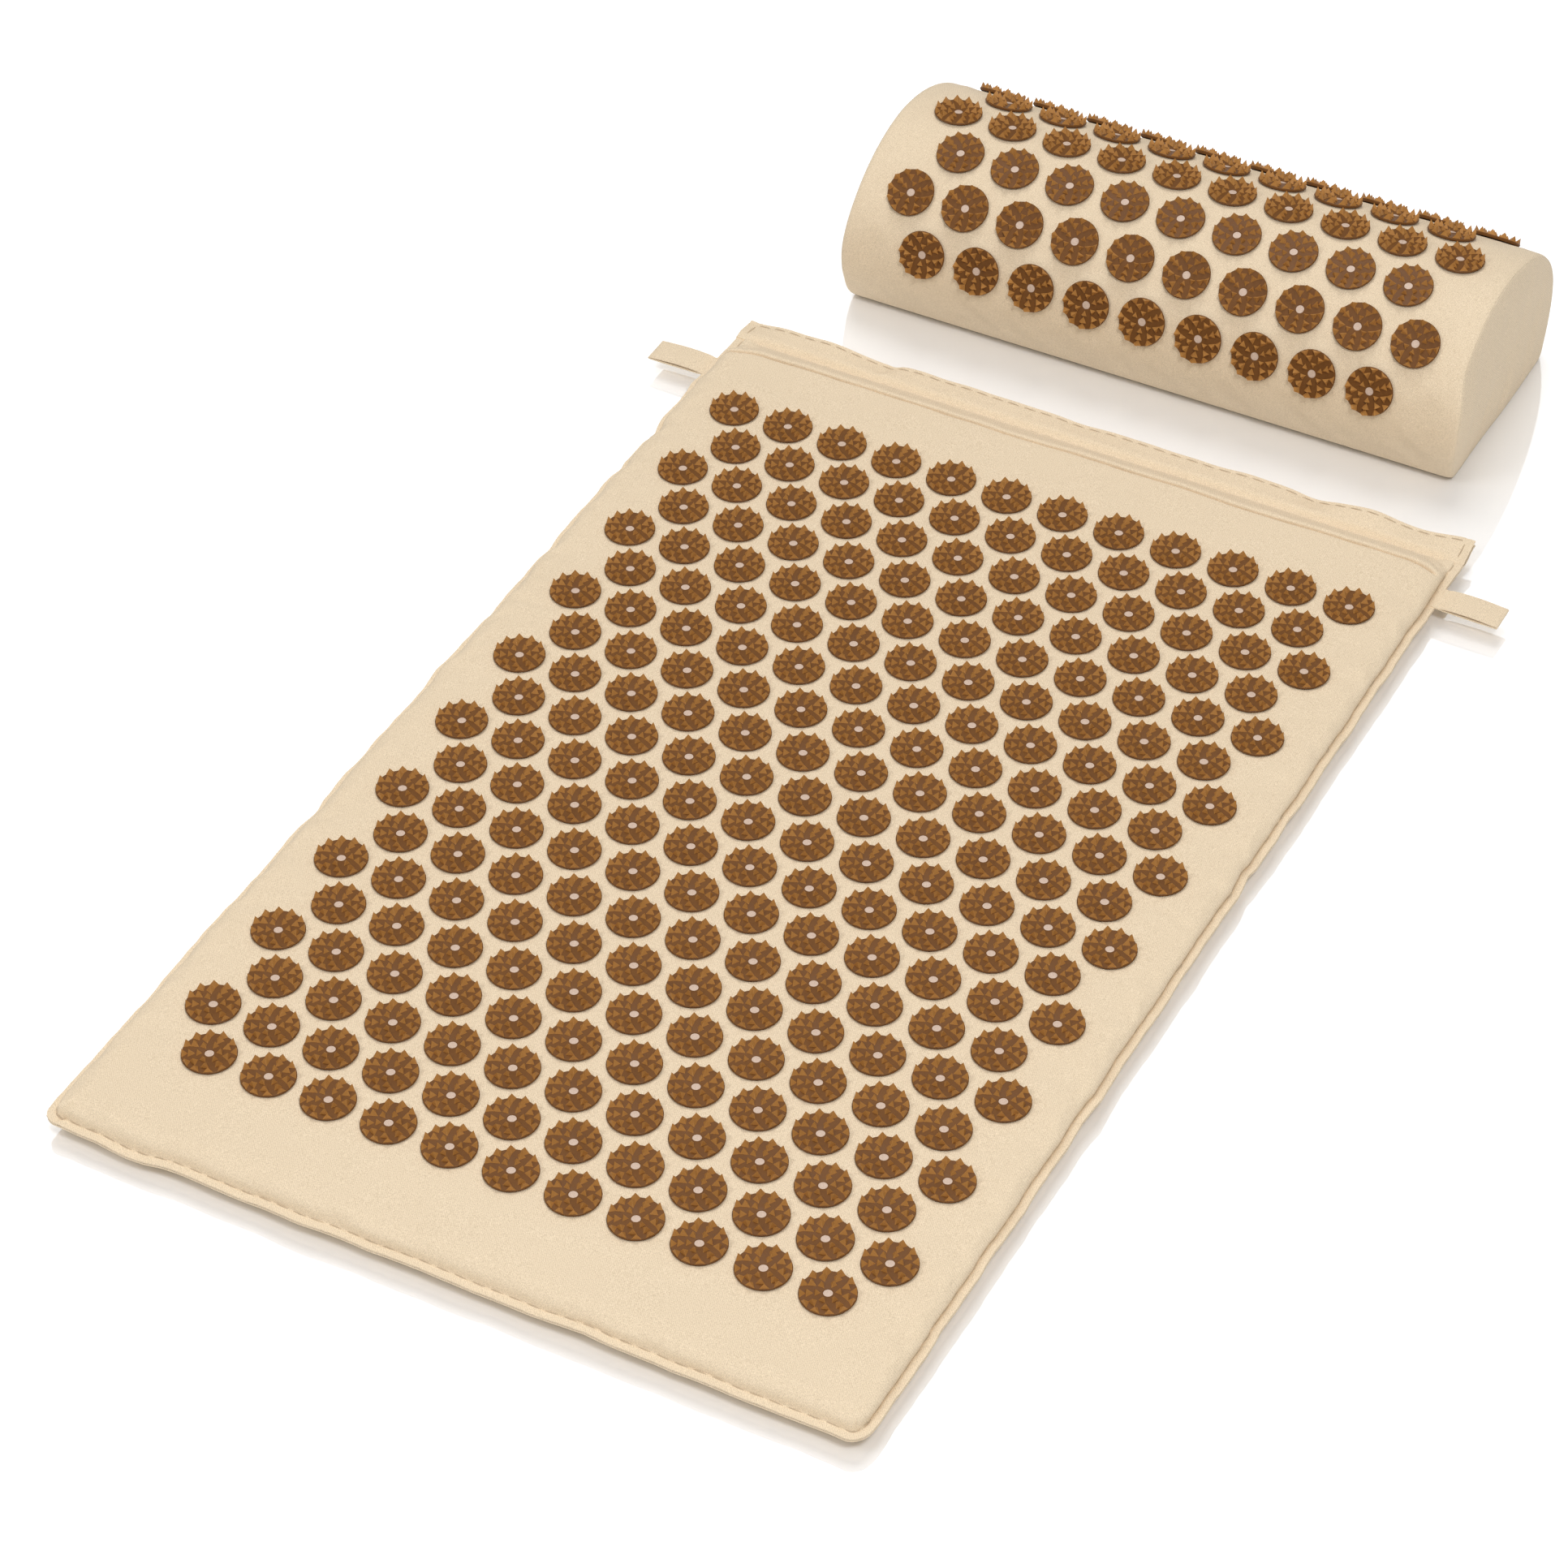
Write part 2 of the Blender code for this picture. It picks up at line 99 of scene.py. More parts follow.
class Nodes:
    """A material under construction: short calls that add and join nodes."""

    def __init__(self, name):
        self.material = bpy.data.materials.new(name)
        self.material.use_nodes = True
        self.tree = self.material.node_tree
        self.shader = self.tree.nodes["Principled BSDF"]

    def add(self, kind, **values):
        node = self.tree.nodes.new(kind)
        for key, value in values.items():
            if hasattr(node, key) and key not in node.inputs:
                setattr(node, key, value)
            else:
                node.inputs[key.replace("_", " ")].default_value = value
        return node

    def join(self, a, b):
        self.tree.links.new(a, b)

    def place(self, scale=1.0):
        """Object coordinates in units of 1 / scale metres."""
        where = self.add("ShaderNodeTexCoord")
        spread = self.add("ShaderNodeMapping")
        spread.inputs["Scale"].default_value = (scale, scale, scale)
        self.join(where.outputs["Object"], spread.inputs["Vector"])
        return spread.outputs["Vector"]

    def noise(self, place, scale, detail=2.0, rough=0.5):
        node = self.add("ShaderNodeTexNoise")
        node.inputs["Scale"].default_value = scale
        node.inputs["Detail"].default_value = detail
        node.inputs["Roughness"].default_value = rough
        self.join(place, node.inputs["Vector"])
        return node.outputs["Fac"]

    def voronoi(self, place, scale, feature="F1"):
        node = self.add("ShaderNodeTexVoronoi", feature=feature)
        node.inputs["Scale"].default_value = scale
        self.join(place, node.inputs["Vector"])
        return node.outputs["Distance"]

    def math(self, operation, a, b=None, c=None, clamp=False):
        node = self.add("ShaderNodeMath", operation=operation)
        node.use_clamp = clamp
        for k, value in enumerate((a, b, c)):
            if value is None:
                continue
            if isinstance(value, (int, float)):
                node.inputs[k].default_value = value
            else:
                self.join(value, node.inputs[k])
        return node.outputs[0]

    def span(self, value, low, high, out_low=0.0, out_high=1.0):
        node = self.add("ShaderNodeMapRange")
        for key, number in zip(
            ("From Min", "From Max", "To Min", "To Max"), (low, high, out_low, out_high)
        ):
            node.inputs[key].default_value = number
        self.join(value, node.inputs["Value"])
        return node.outputs["Result"]

    def mix(self, factor, a, b):
        node = self.add("ShaderNodeMix", data_type="RGBA")
        if isinstance(factor, (int, float)):
            node.inputs[0].default_value = factor
        else:
            self.join(factor, node.inputs[0])
        for socket, value in ((node.inputs[6], a), (node.inputs[7], b)):
            if isinstance(value, tuple):
                socket.default_value = (*value, 1.0)
            else:
                self.join(value, socket)
        return node.outputs[2]

    def bump(self, height, distance, strength=1.0, after=None):
        node = self.add("ShaderNodeBump")
        node.inputs["Strength"].default_value = strength
        node.inputs["Distance"].default_value = distance
        self.join(height, node.inputs["Height"])
        if after is not None:
            self.join(after, node.inputs["Normal"])
        return node.outputs["Normal"]

    def done(self, colour, roughness, normal=None, **fixed):
        if isinstance(colour, tuple):
            self.shader.inputs["Base Color"].default_value = (*colour, 1.0)
        else:
            self.join(colour, self.shader.inputs["Base Color"])
        if isinstance(roughness, (int, float)):
            self.shader.inputs["Roughness"].default_value = roughness
        else:
            self.join(roughness, self.shader.inputs["Roughness"])
        if normal is not None:
            self.join(normal, self.shader.inputs["Normal"])
        for key, value in fixed.items():
            self.shader.inputs[key.replace("_", " ")].default_value = value
        return self.material


def srgb(r, g, b):
    """Linear colour of an 8-bit display colour."""
    return tuple(
        (c / 255 / 12.92) if c <= 10.31 else ((c / 255 + 0.055) / 1.055) ** 2.4
        for c in (r, g, b)
    )


def twill(n, place, wave=0.95):
    """Fine diagonal ribs of a twill, 0 to 1, over object coordinates in millimetres.

    The ribs run across x + y + z, so they stay diagonal on a level panel, on an
    upright one and over the curve between them.
    """
    apart = n.add("ShaderNodeSeparateXYZ")
    n.join(place, apart.inputs[0])
    x, y, z = apart.outputs
    wobble = n.math("MULTIPLY", n.noise(place, 0.05, 2.0), 1.6)
    along = n.math("ADD", n.math("ADD", n.math("MULTIPLY", x, 1.15), y), z)
    along = n.math("ADD", along, wobble)
    rib = n.math("SINE", n.math("MULTIPLY", along, 2 * math.pi / (wave * 1.45)))
    return n.span(rib, -1, 1), apart.outputs


def cotton(name, colour, dark, grain=1.0, folds=0.0):
    """Brushed cotton twill: speckled yarn, fine ribs, slubs and faint shading."""
    n = Nodes(name)
    place = n.place(1000.0)
    rib, _ = twill(n, place)
    speck = n.noise(place, 2.0, 1.0, 0.6)
    fleck = n.noise(place, 0.95, 2.0, 0.6)
    cloud = n.noise(place, 0.012, 3.0, 0.55)
    tone = n.math("MULTIPLY", n.span(speck, 0.20, 0.80), 0.78)
    tone = n.math("ADD", tone, n.math("MULTIPLY", n.span(fleck, 0.2, 0.8), 0.04))
    tone = n.math("ADD", tone, n.math("MULTIPLY", rib, 0.15))
    tone = n.math("ADD", tone, n.math("MULTIPLY", n.span(cloud, 0.2, 0.8), 0.03))
    pale = tuple(min(1.0, c * 1.035) for c in colour)
    deep = tuple(c + (d - c) * grain for c, d in zip(colour, dark))
    shade = n.mix(tone, deep, pale)
    yarn = n.math("ADD", n.math("MULTIPLY", rib, 0.45), n.math("MULTIPLY", speck, 0.9))
    normal = n.bump(yarn, 0.00010, 0.55)
    soft = n.noise(place, 0.10, 3.0, 0.5)
    normal = n.bump(soft, 0.0002, 0.2, normal)
    rough = n.span(speck, 0.3, 0.7, 0.86, 0.97)
    return n.done(
        shade,
        rough,
        normal,
        Specular_IOR_Level=0.22,
        Sheen_Weight=0.10,
        Sheen_Roughness=0.55,
        Sheen_Tint=(1.0, 0.95, 0.88, 1.0),
    )


COTTON = cotton("cotton_twill", (0.970, 0.806, 0.596), (0.585, 0.458, 0.304))
COTTON_INSIDE = cotton("cotton_twill_reverse", (0.86, 0.72, 0.53), (0.54, 0.43, 0.29))


def thread_material():
    """Three-ply polyester thread: diagonal twist and a soft shine."""
    n = Nodes("sewing_thread_painted_shade")
    place = n.place(1000.0)
    apart = n.add("ShaderNodeSeparateXYZ")
    n.join(place, apart.inputs[0])
    x, y, z = apart.outputs
    along = n.math("ADD", n.math("ADD", x, y), n.math("MULTIPLY", z, 1.7))
    ply = n.span(n.math("SINE", n.math("MULTIPLY", along, 7.5)), -1, 1)
    # the thread is set much darker than the cotton: painted shade of the groove along the stitch line,
    # varied by the ply's twist
    shade = n.mix(ply, (0.50, 0.38, 0.25), (0.70, 0.56, 0.39))
    rough = n.span(ply, 0, 1, 0.62, 0.5)
    return n.done(
        shade, rough, n.bump(ply, 0.00015, 0.6), Specular_IOR_Level=0.35
    )


def plastic_material(name, low, high):
    """Injection-moulded brown ABS: satin, with flow marks and a fine eroded grain."""
    n = Nodes(name)
    place = n.place(1000.0)
    cloud = n.noise(place, 0.06, 3.0, 0.5)
    flow = n.noise(place, 0.45, 3.0, 0.6)
    grain = n.noise(place, 5.0, 2.0, 0.6)
    tone = n.math("MULTIPLY", n.span(cloud, 0.3, 0.7), 0.45)
    tone = n.math("ADD", tone, n.math("MULTIPLY", n.span(flow, 0.25, 0.75), 0.55))
    shade = n.mix(tone, low, high)
    rough = n.span(flow, 0.25, 0.75, 0.38, 0.52)
    normal = n.bump(grain, 0.00004, 0.5)
    return n.done(shade, rough, normal, Specular_IOR_Level=0.22)


def film_material():
    """Milky bonding film and the cotton behind it, seen through a disc's centre hole."""
    n = Nodes("bonding_film")
    place = n.place(1000.0)
    fibre = n.noise(place, 1.6, 3.0, 0.6)
    shade = n.mix(n.span(fibre, 0.3, 0.7), srgb(196, 170, 150), srgb(218, 194, 176))
    rough = n.span(fibre, 0.3, 0.7, 0.34, 0.5)
    return n.done(shade, rough, n.bump(fibre, 0.0001, 0.5), Specular_IOR_Level=0.4)


def foam_material():
    """Open-cell polyurethane foam, slightly yellowed at its skin."""
    n = Nodes("open_cell_foam")
    place = n.place(1000.0)
    cell = n.voronoi(place, 0.75)
    fine = n.noise(place, 1.5, 3.0, 0.6)
    shade = n.mix(n.span(cell, 0.0, 0.75), (0.55, 0.52, 0.42), (0.84, 0.80, 0.66))
    height = n.math("ADD", cell, n.math("MULTIPLY", fine, 0.4))
    rough = n.span(fine, 0.3, 0.7, 0.88, 0.98)
    return n.done(shade, rough, n.bump(height, 0.0006, 0.7), Specular_IOR_Level=0.15)


def hook_material(name, colour, dark, pitch, height):
    """Hook-and-loop tape: rows of small hooks, or a felted field of loops."""
    n = Nodes(name)
    place = n.place(1000.0)
    pile = n.voronoi(place, pitch)
    fuzz = n.noise(place, pitch * 2.2, 3.0, 0.65)
    rise = n.math("SUBTRACT", 1.0, n.math("ADD", pile, n.math("MULTIPLY", fuzz, 0.35)))
    shade = n.mix(n.span(rise, 0.1, 0.8), dark, colour)
    rough = n.span(fuzz, 0.3, 0.7, 0.6, 0.9)
    return n.done(shade, rough, n.bump(rise, height, 0.8), Specular_IOR_Level=0.3)


def tape_material():
    """Woven zip tape: a tight herringbone across, ribs along its edge."""
    n = Nodes("woven_zip_tape")
    place = n.place(1000.0)
    apart = n.add("ShaderNodeSeparateXYZ")
    n.join(place, apart.inputs[0])
    x, y, z = apart.outputs
    climb = n.math("ABSOLUTE", n.math("SINE", n.math("MULTIPLY", z, 1.3)))
    weft = n.math(
        "SINE", n.math("ADD", n.math("MULTIPLY", x, 7.5), n.math("MULTIPLY", climb, 3.0))
    )
    warp = n.math("SINE", n.math("MULTIPLY", z, 9.5))
    weave = n.span(n.math("ADD", weft, n.math("MULTIPLY", warp, 0.6)), -1.6, 1.6)
    fibre = n.noise(place, 1.8, 3.0, 0.6)
    tone = n.math("ADD", n.math("MULTIPLY", weave, 0.6), n.math("MULTIPLY", fibre, 0.4))
    shade = n.mix(tone, (0.50, 0.385, 0.245), (0.74, 0.60, 0.41))
    rough = n.span(fibre, 0.3, 0.7, 0.7, 0.88)
    return n.done(shade, rough, n.bump(tone, 0.00018, 0.7), Specular_IOR_Level=0.25)


def coil_material():
    """Dyed nylon monofilament of the zip's coils."""
    n = Nodes("nylon_coil")
    place = n.place(1000.0)
    streak = n.noise(place, 0.9, 3.0, 0.5)
    shade = n.mix(n.span(streak, 0.3, 0.7), (0.56, 0.44, 0.28), (0.72, 0.58, 0.39))
    rough = n.span(streak, 0.3, 0.7, 0.26, 0.4)
    return n.done(shade, rough, n.bump(streak, 0.00006, 0.5), Specular_IOR_Level=0.5)


def metal_material():
    """Nickel-plated zinc casting: brushed, with small pits."""
    n = Nodes("nickel_plate")
    where = n.add("ShaderNodeTexCoord")
    spread = n.add("ShaderNodeMapping")
    spread.inputs["Scale"].default_value = (300.0, 4000.0, 4000.0)
    n.join(where.outputs["Object"], spread.inputs["Vector"])
    brush = n.noise(spread.outputs["Vector"], 1.0, 3.0, 0.5)
    pits = n.noise(n.place(1000.0), 1.6, 3.0, 0.6)
    shade = n.mix(n.span(pits, 0.35, 0.65), (0.50, 0.47, 0.42), (0.66, 0.63, 0.58))
    rough = n.span(brush, 0.3, 0.7, 0.22, 0.42)
    normal = n.bump(n.math("ADD", brush, pits), 0.00005, 0.5)
    return n.done(shade, rough, normal, Metallic=1.0)


THREAD_PAINTED_SHADE = thread_material()
PLASTIC = plastic_material("disc_plastic_brown_painted_shade", srgb(105, 66, 27), srgb(118, 76, 33))
# the points are set paler and the plate darker than the one plastic they share: painted light on the
# points' faces and painted shade on the plate between them
SPIKE_PLASTIC_PAINTED_LIGHT = plastic_material("disc_plastic_points_painted_light", srgb(171, 119, 60), srgb(188, 135, 73))
FILM = film_material()
FOAM = foam_material()
HOOK = hook_material("hook_tape", (0.70, 0.58, 0.41), (0.42, 0.33, 0.21), 0.95, 0.0009)
LOOP = hook_material("loop_tape", (0.76, 0.65, 0.48), (0.55, 0.44, 0.30), 1.7, 0.0006)
ZIP_TAPE = tape_material()
COIL = coil_material()
METAL = metal_material()

# ------------------------------------------------------------------ mesh helpers


def mesh_object(name, co, faces, materials, index=None, sharp=None, flat=None):
    """An object from points in millimetres and lists of equally long faces."""
    mesh = bpy.data.meshes.new(name)
    co = np.asarray(co, np.float64) * MM
    mesh.vertices.add(len(co))
    mesh.vertices.foreach_set("co", co.astype(np.float32).ravel())
    faces = [np.asarray(f, np.int32) for f in faces if len(f)]
    corners = np.concatenate([f.ravel() for f in faces])
    sizes = np.concatenate([np.full(len(f), f.shape[1]) for f in faces])
    mesh.loops.add(len(corners))
    mesh.loops.foreach_set("vertex_index", corners)
    mesh.polygons.add(len(sizes))
    starts = np.concatenate([[0], np.cumsum(sizes)[:-1]]).astype(np.int32)
    mesh.polygons.foreach_set("loop_start", starts)
    for material in materials:
        mesh.materials.append(material)
    if index is not None:
        mesh.polygons.foreach_set("material_index", np.asarray(index, np.int32))
    mesh.update(calc_edges=True)
    mesh.validate()
    mesh.shade_smooth()
    if sharp is not None:
        mesh.set_sharp_from_angle(angle=math.radians(sharp))
    obj = bpy.data.objects.new(name, mesh)
    scene.collection.objects.link(obj)
    return obj


def grid_faces(rows, columns, start=0, flip=False, wrap=False):
    """Quads of a rows by columns field of points numbered row by row."""
    last = columns if wrap else columns - 1
    r, c = np.meshgrid(np.arange(rows - 1), np.arange(last), indexing="ij")
    a = start + r * columns + c
    b = start + r * columns + (c + 1) % columns
    d = start + (r + 1) * columns + c
    e = start + (r + 1) * columns + (c + 1) % columns
    order = (a, d, e, b) if flip else (a, b, e, d)
    return np.stack([q.ravel() for q in order], 1)


def grid_normals(p):
    """Unit normals of a field of points (rows, columns, 3); up where it lies level."""
    along = np.gradient(p, axis=1)
    across = np.gradient(p, axis=0)
    n = np.cross(along, across)
    return n / np.maximum(np.linalg.norm(n, axis=2, keepdims=True), 1e-9)


def shell(name, p, thickness, materials, flip=False, inner_shift=None, sharp=50):
    """A closed cloth of the given thickness, whose outer side is the field p."""
    rows, columns, _ = p.shape
    n = grid_normals(p) * (-1 if flip else 1)
    inner = p - n * thickness if inner_shift is None else p + inner_shift
    count = rows * columns
    co = np.concatenate([p.reshape(-1, 3), inner.reshape(-1, 3)])
    outer_faces = grid_faces(rows, columns, 0, flip)
    inner_faces = grid_faces(rows, columns, count, not flip)
    rim = np.concatenate(
        [
            np.arange(columns),
            np.arange(1, rows) * columns + columns - 1,
            (rows - 1) * columns + np.arange(columns - 2, -1, -1),
            np.arange(rows - 2, 0, -1) * columns,
        ]
    )
    after = np.roll(rim, -1)
    if flip:
        rim_faces = np.stack([rim, after, after + count, rim + count], 1)
    else:
        rim_faces = np.stack([after, rim, rim + count, after + count], 1)
    index = np.concatenate(
        [
            np.zeros(len(outer_faces), int),
            np.full(len(inner_faces), min(1, len(materials) - 1)),
            np.zeros(len(rim_faces), int),
        ]
    )
    return mesh_object(
        name, co, [outer_faces, inner_faces, rim_faces], materials, index, sharp
    )


def smooth_step(t):
    t = np.clip(t, 0.0, 1.0)
    return t * t * (3 - 2 * t)


def ripple(t, waves):
    """A sum of sines: each of waves is (amplitude, wavelength, phase)."""
    t = np.asarray(t, float)
    out = np.zeros_like(t)
    for amplitude, length, phase in waves:
        out = out + amplitude * np.sin(2 * math.pi * t / length + phase)
    return out


def bumps(t, marks):
    """A sum of soft bumps: each of marks is (place, height, half width)."""
    t = np.asarray(t, float)
    out = np.zeros_like(t)
    for place, height, width in marks:
        out = out + height * np.exp(-(((t - place) / width) ** 2))
    return out


def spline_matrix(knots, at):
    """The matrix that takes values at the knots to a natural cubic spline's at at."""
    knots, at = np.asarray(knots, float), np.asarray(at, float)
    n = len(knots)
    h = np.diff(knots)
    a, b = np.eye(n), np.zeros((n, n))
    for i in range(1, n - 1):
        a[i, i - 1], a[i, i], a[i, i + 1] = h[i - 1], 2 * (h[i - 1] + h[i]), h[i]
        b[i, i - 1] += 6 / h[i - 1]
        b[i, i] -= 6 / h[i - 1] + 6 / h[i]
        b[i, i + 1] += 6 / h[i]
    second = np.linalg.solve(a, b)
    i = np.clip(np.searchsorted(knots, at, side="right") - 1, 0, n - 2)
    left = (knots[i + 1] - at) / h[i]
    rest = 1 - left
    out = (
        second[i] * ((left**3 - left) * h[i] ** 2 / 6)[:, None]
        + second[i + 1] * ((rest**3 - rest) * h[i] ** 2 / 6)[:, None]
    )
    out[np.arange(len(at)), i] += left
    out[np.arange(len(at)), i + 1] += rest
    return out


def swell(name, co, faces, free, pressure, cap, frames=20, shrink=0.0, bending=0.5):
    """Cloth under a little inner pressure, held where free is 0.

    Returns how far each point moved, in millimetres, at most cap.
    """
    obj = mesh_object(name, co, faces, [])
    hold = obj.vertex_groups.new(name="hold")
    weights = np.round(1 - np.clip(free, 0, 1), 2)
    for value in np.unique(weights):
        if value > 0:
            hold.add(np.flatnonzero(weights == value).tolist(), float(value), "REPLACE")
    cloth = obj.modifiers.new("swell", "CLOTH")
    s = cloth.settings
    s.quality = 6
    s.mass = 0.15
    s.tension_stiffness = 12
    s.compression_stiffness = 12
    s.shear_stiffness = 4
    s.bending_stiffness = bending
    s.tension_damping = s.compression_damping = s.shear_damping = 6
    s.air_damping = 4
    s.vertex_group_mass = "hold"
    s.use_pressure = True
    s.uniform_pressure_force = pressure
    s.shrink_min = shrink
    s.effector_weights.gravity = 0.0
    cloth.collision_settings.use_collision = False
    cloth.collision_settings.use_self_collision = False
    cloth.point_cache.frame_start = 1
    cloth.point_cache.frame_end = frames
    for number in range(1, frames + 1):
        scene.frame_set(number)
    view_layer = bpy.context.evaluated_depsgraph_get()
    ready = obj.evaluated_get(view_layer)
    moved = np.zeros(len(co) * 3, np.float32)
    ready.data.vertices.foreach_get("co", moved)
    moved = moved.reshape(-1, 3).astype(float) / MM - np.asarray(co, float)
    scene.frame_set(1)
    mesh = obj.data
    bpy.data.objects.remove(obj)
    bpy.data.meshes.remove(mesh)
    moved[~np.isfinite(moved).all(1)] = 0
    far = np.linalg.norm(moved, axis=1)
    print(f"{name}: moved up to {far.max():.2f} mm, mean {far.mean():.3f} mm")
    cap = np.broadcast_to(np.asarray(cap, float), far.shape)
    limit = cap * np.tanh(far / np.maximum(cap, 1e-6))
    return moved * (limit / np.maximum(far, 1e-9))[:, None]


# ------------------------------------------------------------------ spike disc


def disc_parts(first_middle):
    """Points, faces and their materials of one disc, standing on z = 0.

    A plate with a rounded rim and a centre hole, whose floor is bonding film,
    and 27 three-sided spikes in rings of 12, 9 and 6. Each spike has a flat face
    outwards and a ridge that runs in towards the hole.
    """
    seg = 36
    profile = (
        (12.20, 0.0),
        (12.62, 0.34),
        (12.98, 0.74),
        (DISC_R, 1.00),
        (DISC_R, 1.28),
        (12.98, 1.47),
        (12.78, PLATE),
        (2.62, PLATE),
        (2.36, 1.55),
        (2.22, 1.44),
        (2.18, 1.22),
    )
    turn = np.arange(seg) * 2 * math.pi / seg
    co = [
        (r * math.cos(a), r * math.sin(a), z) for r, z in profile for a in turn
    ]
    quads, tris, mats_q, mats_t = [], [], [], []
    for k in range(len(profile) - 1):
        for i in range(seg):
            j = (i + 1) % seg
            quads.append(
                (k * seg + i, k * seg + j, (k + 1) * seg + j, (k + 1) * seg + i)
            )
            mats_q.append(0)
    under = len(co)
    co.append((0.0, 0.0, 0.0))
    floor = len(co)
    co.append((0.0, 0.0, 1.34))
    last = (len(profile) - 1) * seg
    for i in range(seg):
        j = (i + 1) % seg
        tris.append((j, i, under))
        mats_t.append(0)
        tris.append((last + i, last + j, floor))
        mats_t.append(1)

    rings = [(30.0 * k, 12.62, 12.60, 2.55, 9.35, 3.15) for k in range(12)]
    rings += [(first_middle + 40.0 * k, 9.35, 9.85, 2.25, 6.15, 2.95) for k in range(9)]
    rings += [(30.0 + 60.0 * k, 5.35, 5.95, 1.80, 2.95, 2.70) for k in range(6)]
    for degrees, apex_r, foot_r, half, ridge_r, high in rings:
        a = math.radians(degrees)
        out, side = np.array((math.cos(a), math.sin(a))), np.array(
            (-math.sin(a), math.cos(a))
        )
        base = [
            out * foot_r - side * half,
            out * foot_r + side * half,
            out * ridge_r,
        ]
        apex = out * apex_r
        if foot_r > 11:  # the rim's spikes stand on the rounded edge
            base[0] = base[0] * (12.92 / np.linalg.norm(base[0]))
            base[1] = base[1] * (12.92 / np.linalg.norm(base[1]))
        start = len(co)
        low, top = PLATE - (0.35 if foot_r > 11 else 0.18), PLATE + high
        near = 0.955  # where the last, blunter bit of the tip begins
        for k in range(3):
            here, before, after = base[k], base[k - 1], base[(k + 1) % 3]
            for other in (before, after):
                step = (other - here) / np.linalg.norm(other - here)
                p = here + step * 0.20
                co.append((p[0], p[1], low))
        for k in range(3):
            p = base[k] + (apex - base[k]) * near
            co.append((p[0], p[1], low + (top - low) * (near - 0.02)))
        co.append((apex[0], apex[1], top))
        for k in range(3):
            n = (k + 1) % 3
            quads.append(
                (start + 2 * k + 1, start + 2 * n, start + 6 + n, start + 6 + k)
            )
            mats_q.append(2)
            tris.append((start + 2 * k, start + 2 * k + 1, start + 6 + k))
            tris.append((start + 6 + k, start + 6 + n, start + 9))
            mats_t += [2, 2]
        for k in range(4):
            tris.append((start, start + k + 2, start + k + 1))
            mats_t.append(2)
    return np.array(co), np.array(quads), np.array(tris), mats_q, mats_t


DISCS = {"mat": disc_parts(90.0), "pillow": disc_parts(30.0)}


def disc_row(name, kind, count, pitch, y, z, tilt, node, body):
    co, quads, tris, mats_q, mats_t = DISCS[kind]
    c, s = math.cos(tilt), math.sin(tilt)
    points, all_quads, all_tris = [], [], []
    for i in range(count):
        p = co.copy()
        p[:, 0] += (i - (count - 1) / 2) * pitch
        p = np.stack([p[:, 0], y + c * p[:, 1] - s * p[:, 2], z + s * p[:, 1] + c * p[:, 2]], 1)
        points.append(p)
        all_quads.append(quads + i * len(co))
        all_tris.append(tris + i * len(co))
    obj = mesh_object(
        name,
        np.concatenate(points),
        [np.concatenate(all_quads), np.concatenate(all_tris)],
        [PLASTIC, FILM, SPIKE_PLASTIC_PAINTED_LIGHT],
        mats_q * count + mats_t * count,
        sharp=28,
    )
    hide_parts(node)
    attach(obj, body)
    return obj


for j in range(20):
    disc_row(
        f"mat_spike_discs_row_{j + 1:02d}",
        "mat",
        12 - j % 2,
        PITCH,
        ROW_1_Y - j * ROW_PITCH,
        TOP_Z + GAP,
        0.0,
        f"mat_disc_row_{j + 1:02d}",
        "mat_head_half" if j < 10 else "mat_foot_half",
    )

# ------------------------------------------------------------------ mat cover

# How the sewn edge wanders: outwards (+) and up (+), along each side.
RIGHT_OUT = ((-107, 1.2, 7), (61, -1.1, 6), (121, 0.8, 9), (-35, 0.6, 8), (-335, -0.6, 10))
LEFT_OUT = (
    (-203, 1.1, 6), (-175, -0.8, 7), (-107, -1.5, 6), (-47, 1.0, 7), (10, 1.2, 9),
    (61, -1.3, 6), (121, -1.0, 5), (181, 0.9, 7), (195, -1.4, 5), (229, -1.9, 6),
    (277, 1.5, 7),
)
FOOT_OUT = ((-164, 1.7, 13), (-76, 0.8, 15), (-140, -0.7, 7), (76, -0.6, 10), (148, 0.5, 9))
FOOT_DOWN = ((-160, 1.5, 17), (-96, 0.5, 20), (20, 0.4, 30), (150, 0.5, 22))


def side_out(y, sign):
    small = ripple(y, ((0.22, 47, 1.0 + sign), (0.14, 23, 2.1 * sign), (0.08, 11, 0.7)))
    return bumps(y, RIGHT_OUT if sign > 0 else LEFT_OUT) + small - (0.4 if sign > 0 else 0.1)


def side_lift(y, sign):
    return ripple(y, ((0.45, 118, 0.8 + sign), (0.28, 53, 2.0 * sign), (0.15, 27, 1.1)))


def foot_out(x):
    return bumps(x, FOOT_OUT) + ripple(x, ((0.2, 39, 0.4), (0.1, 17, 2.2)))


def foot_lift(x):
    return -bumps(x, FOOT_DOWN) + ripple(x, ((0.3, 74, 1.9), (0.15, 31, 0.3)))


def round_corner(x, y):
    """Moves points of the sharp rectangle inside its outline with round foot corners."""
    radius = np.where(x > 0, CORNER_R, 0.68 * CORNER_R)
    a = (np.abs(x) - (HALF_W - radius)) / radius
    b = ((FOOT_Y + radius) - y) / radius
    inside = (a > 0) & (b > 0)
    a, b = np.clip(a, 0, None), np.clip(b, 0, None)
    length = np.maximum(np.hypot(a, b), 1e-9)
    share = np.where(inside, np.maximum(a, b) / length, 1.0)
    nx = np.where(inside, np.sign(x) * (HALF_W - radius + radius * a * share), x)
    ny = np.where(inside, FOOT_Y + radius - radius * b * share, y)
    return nx, ny


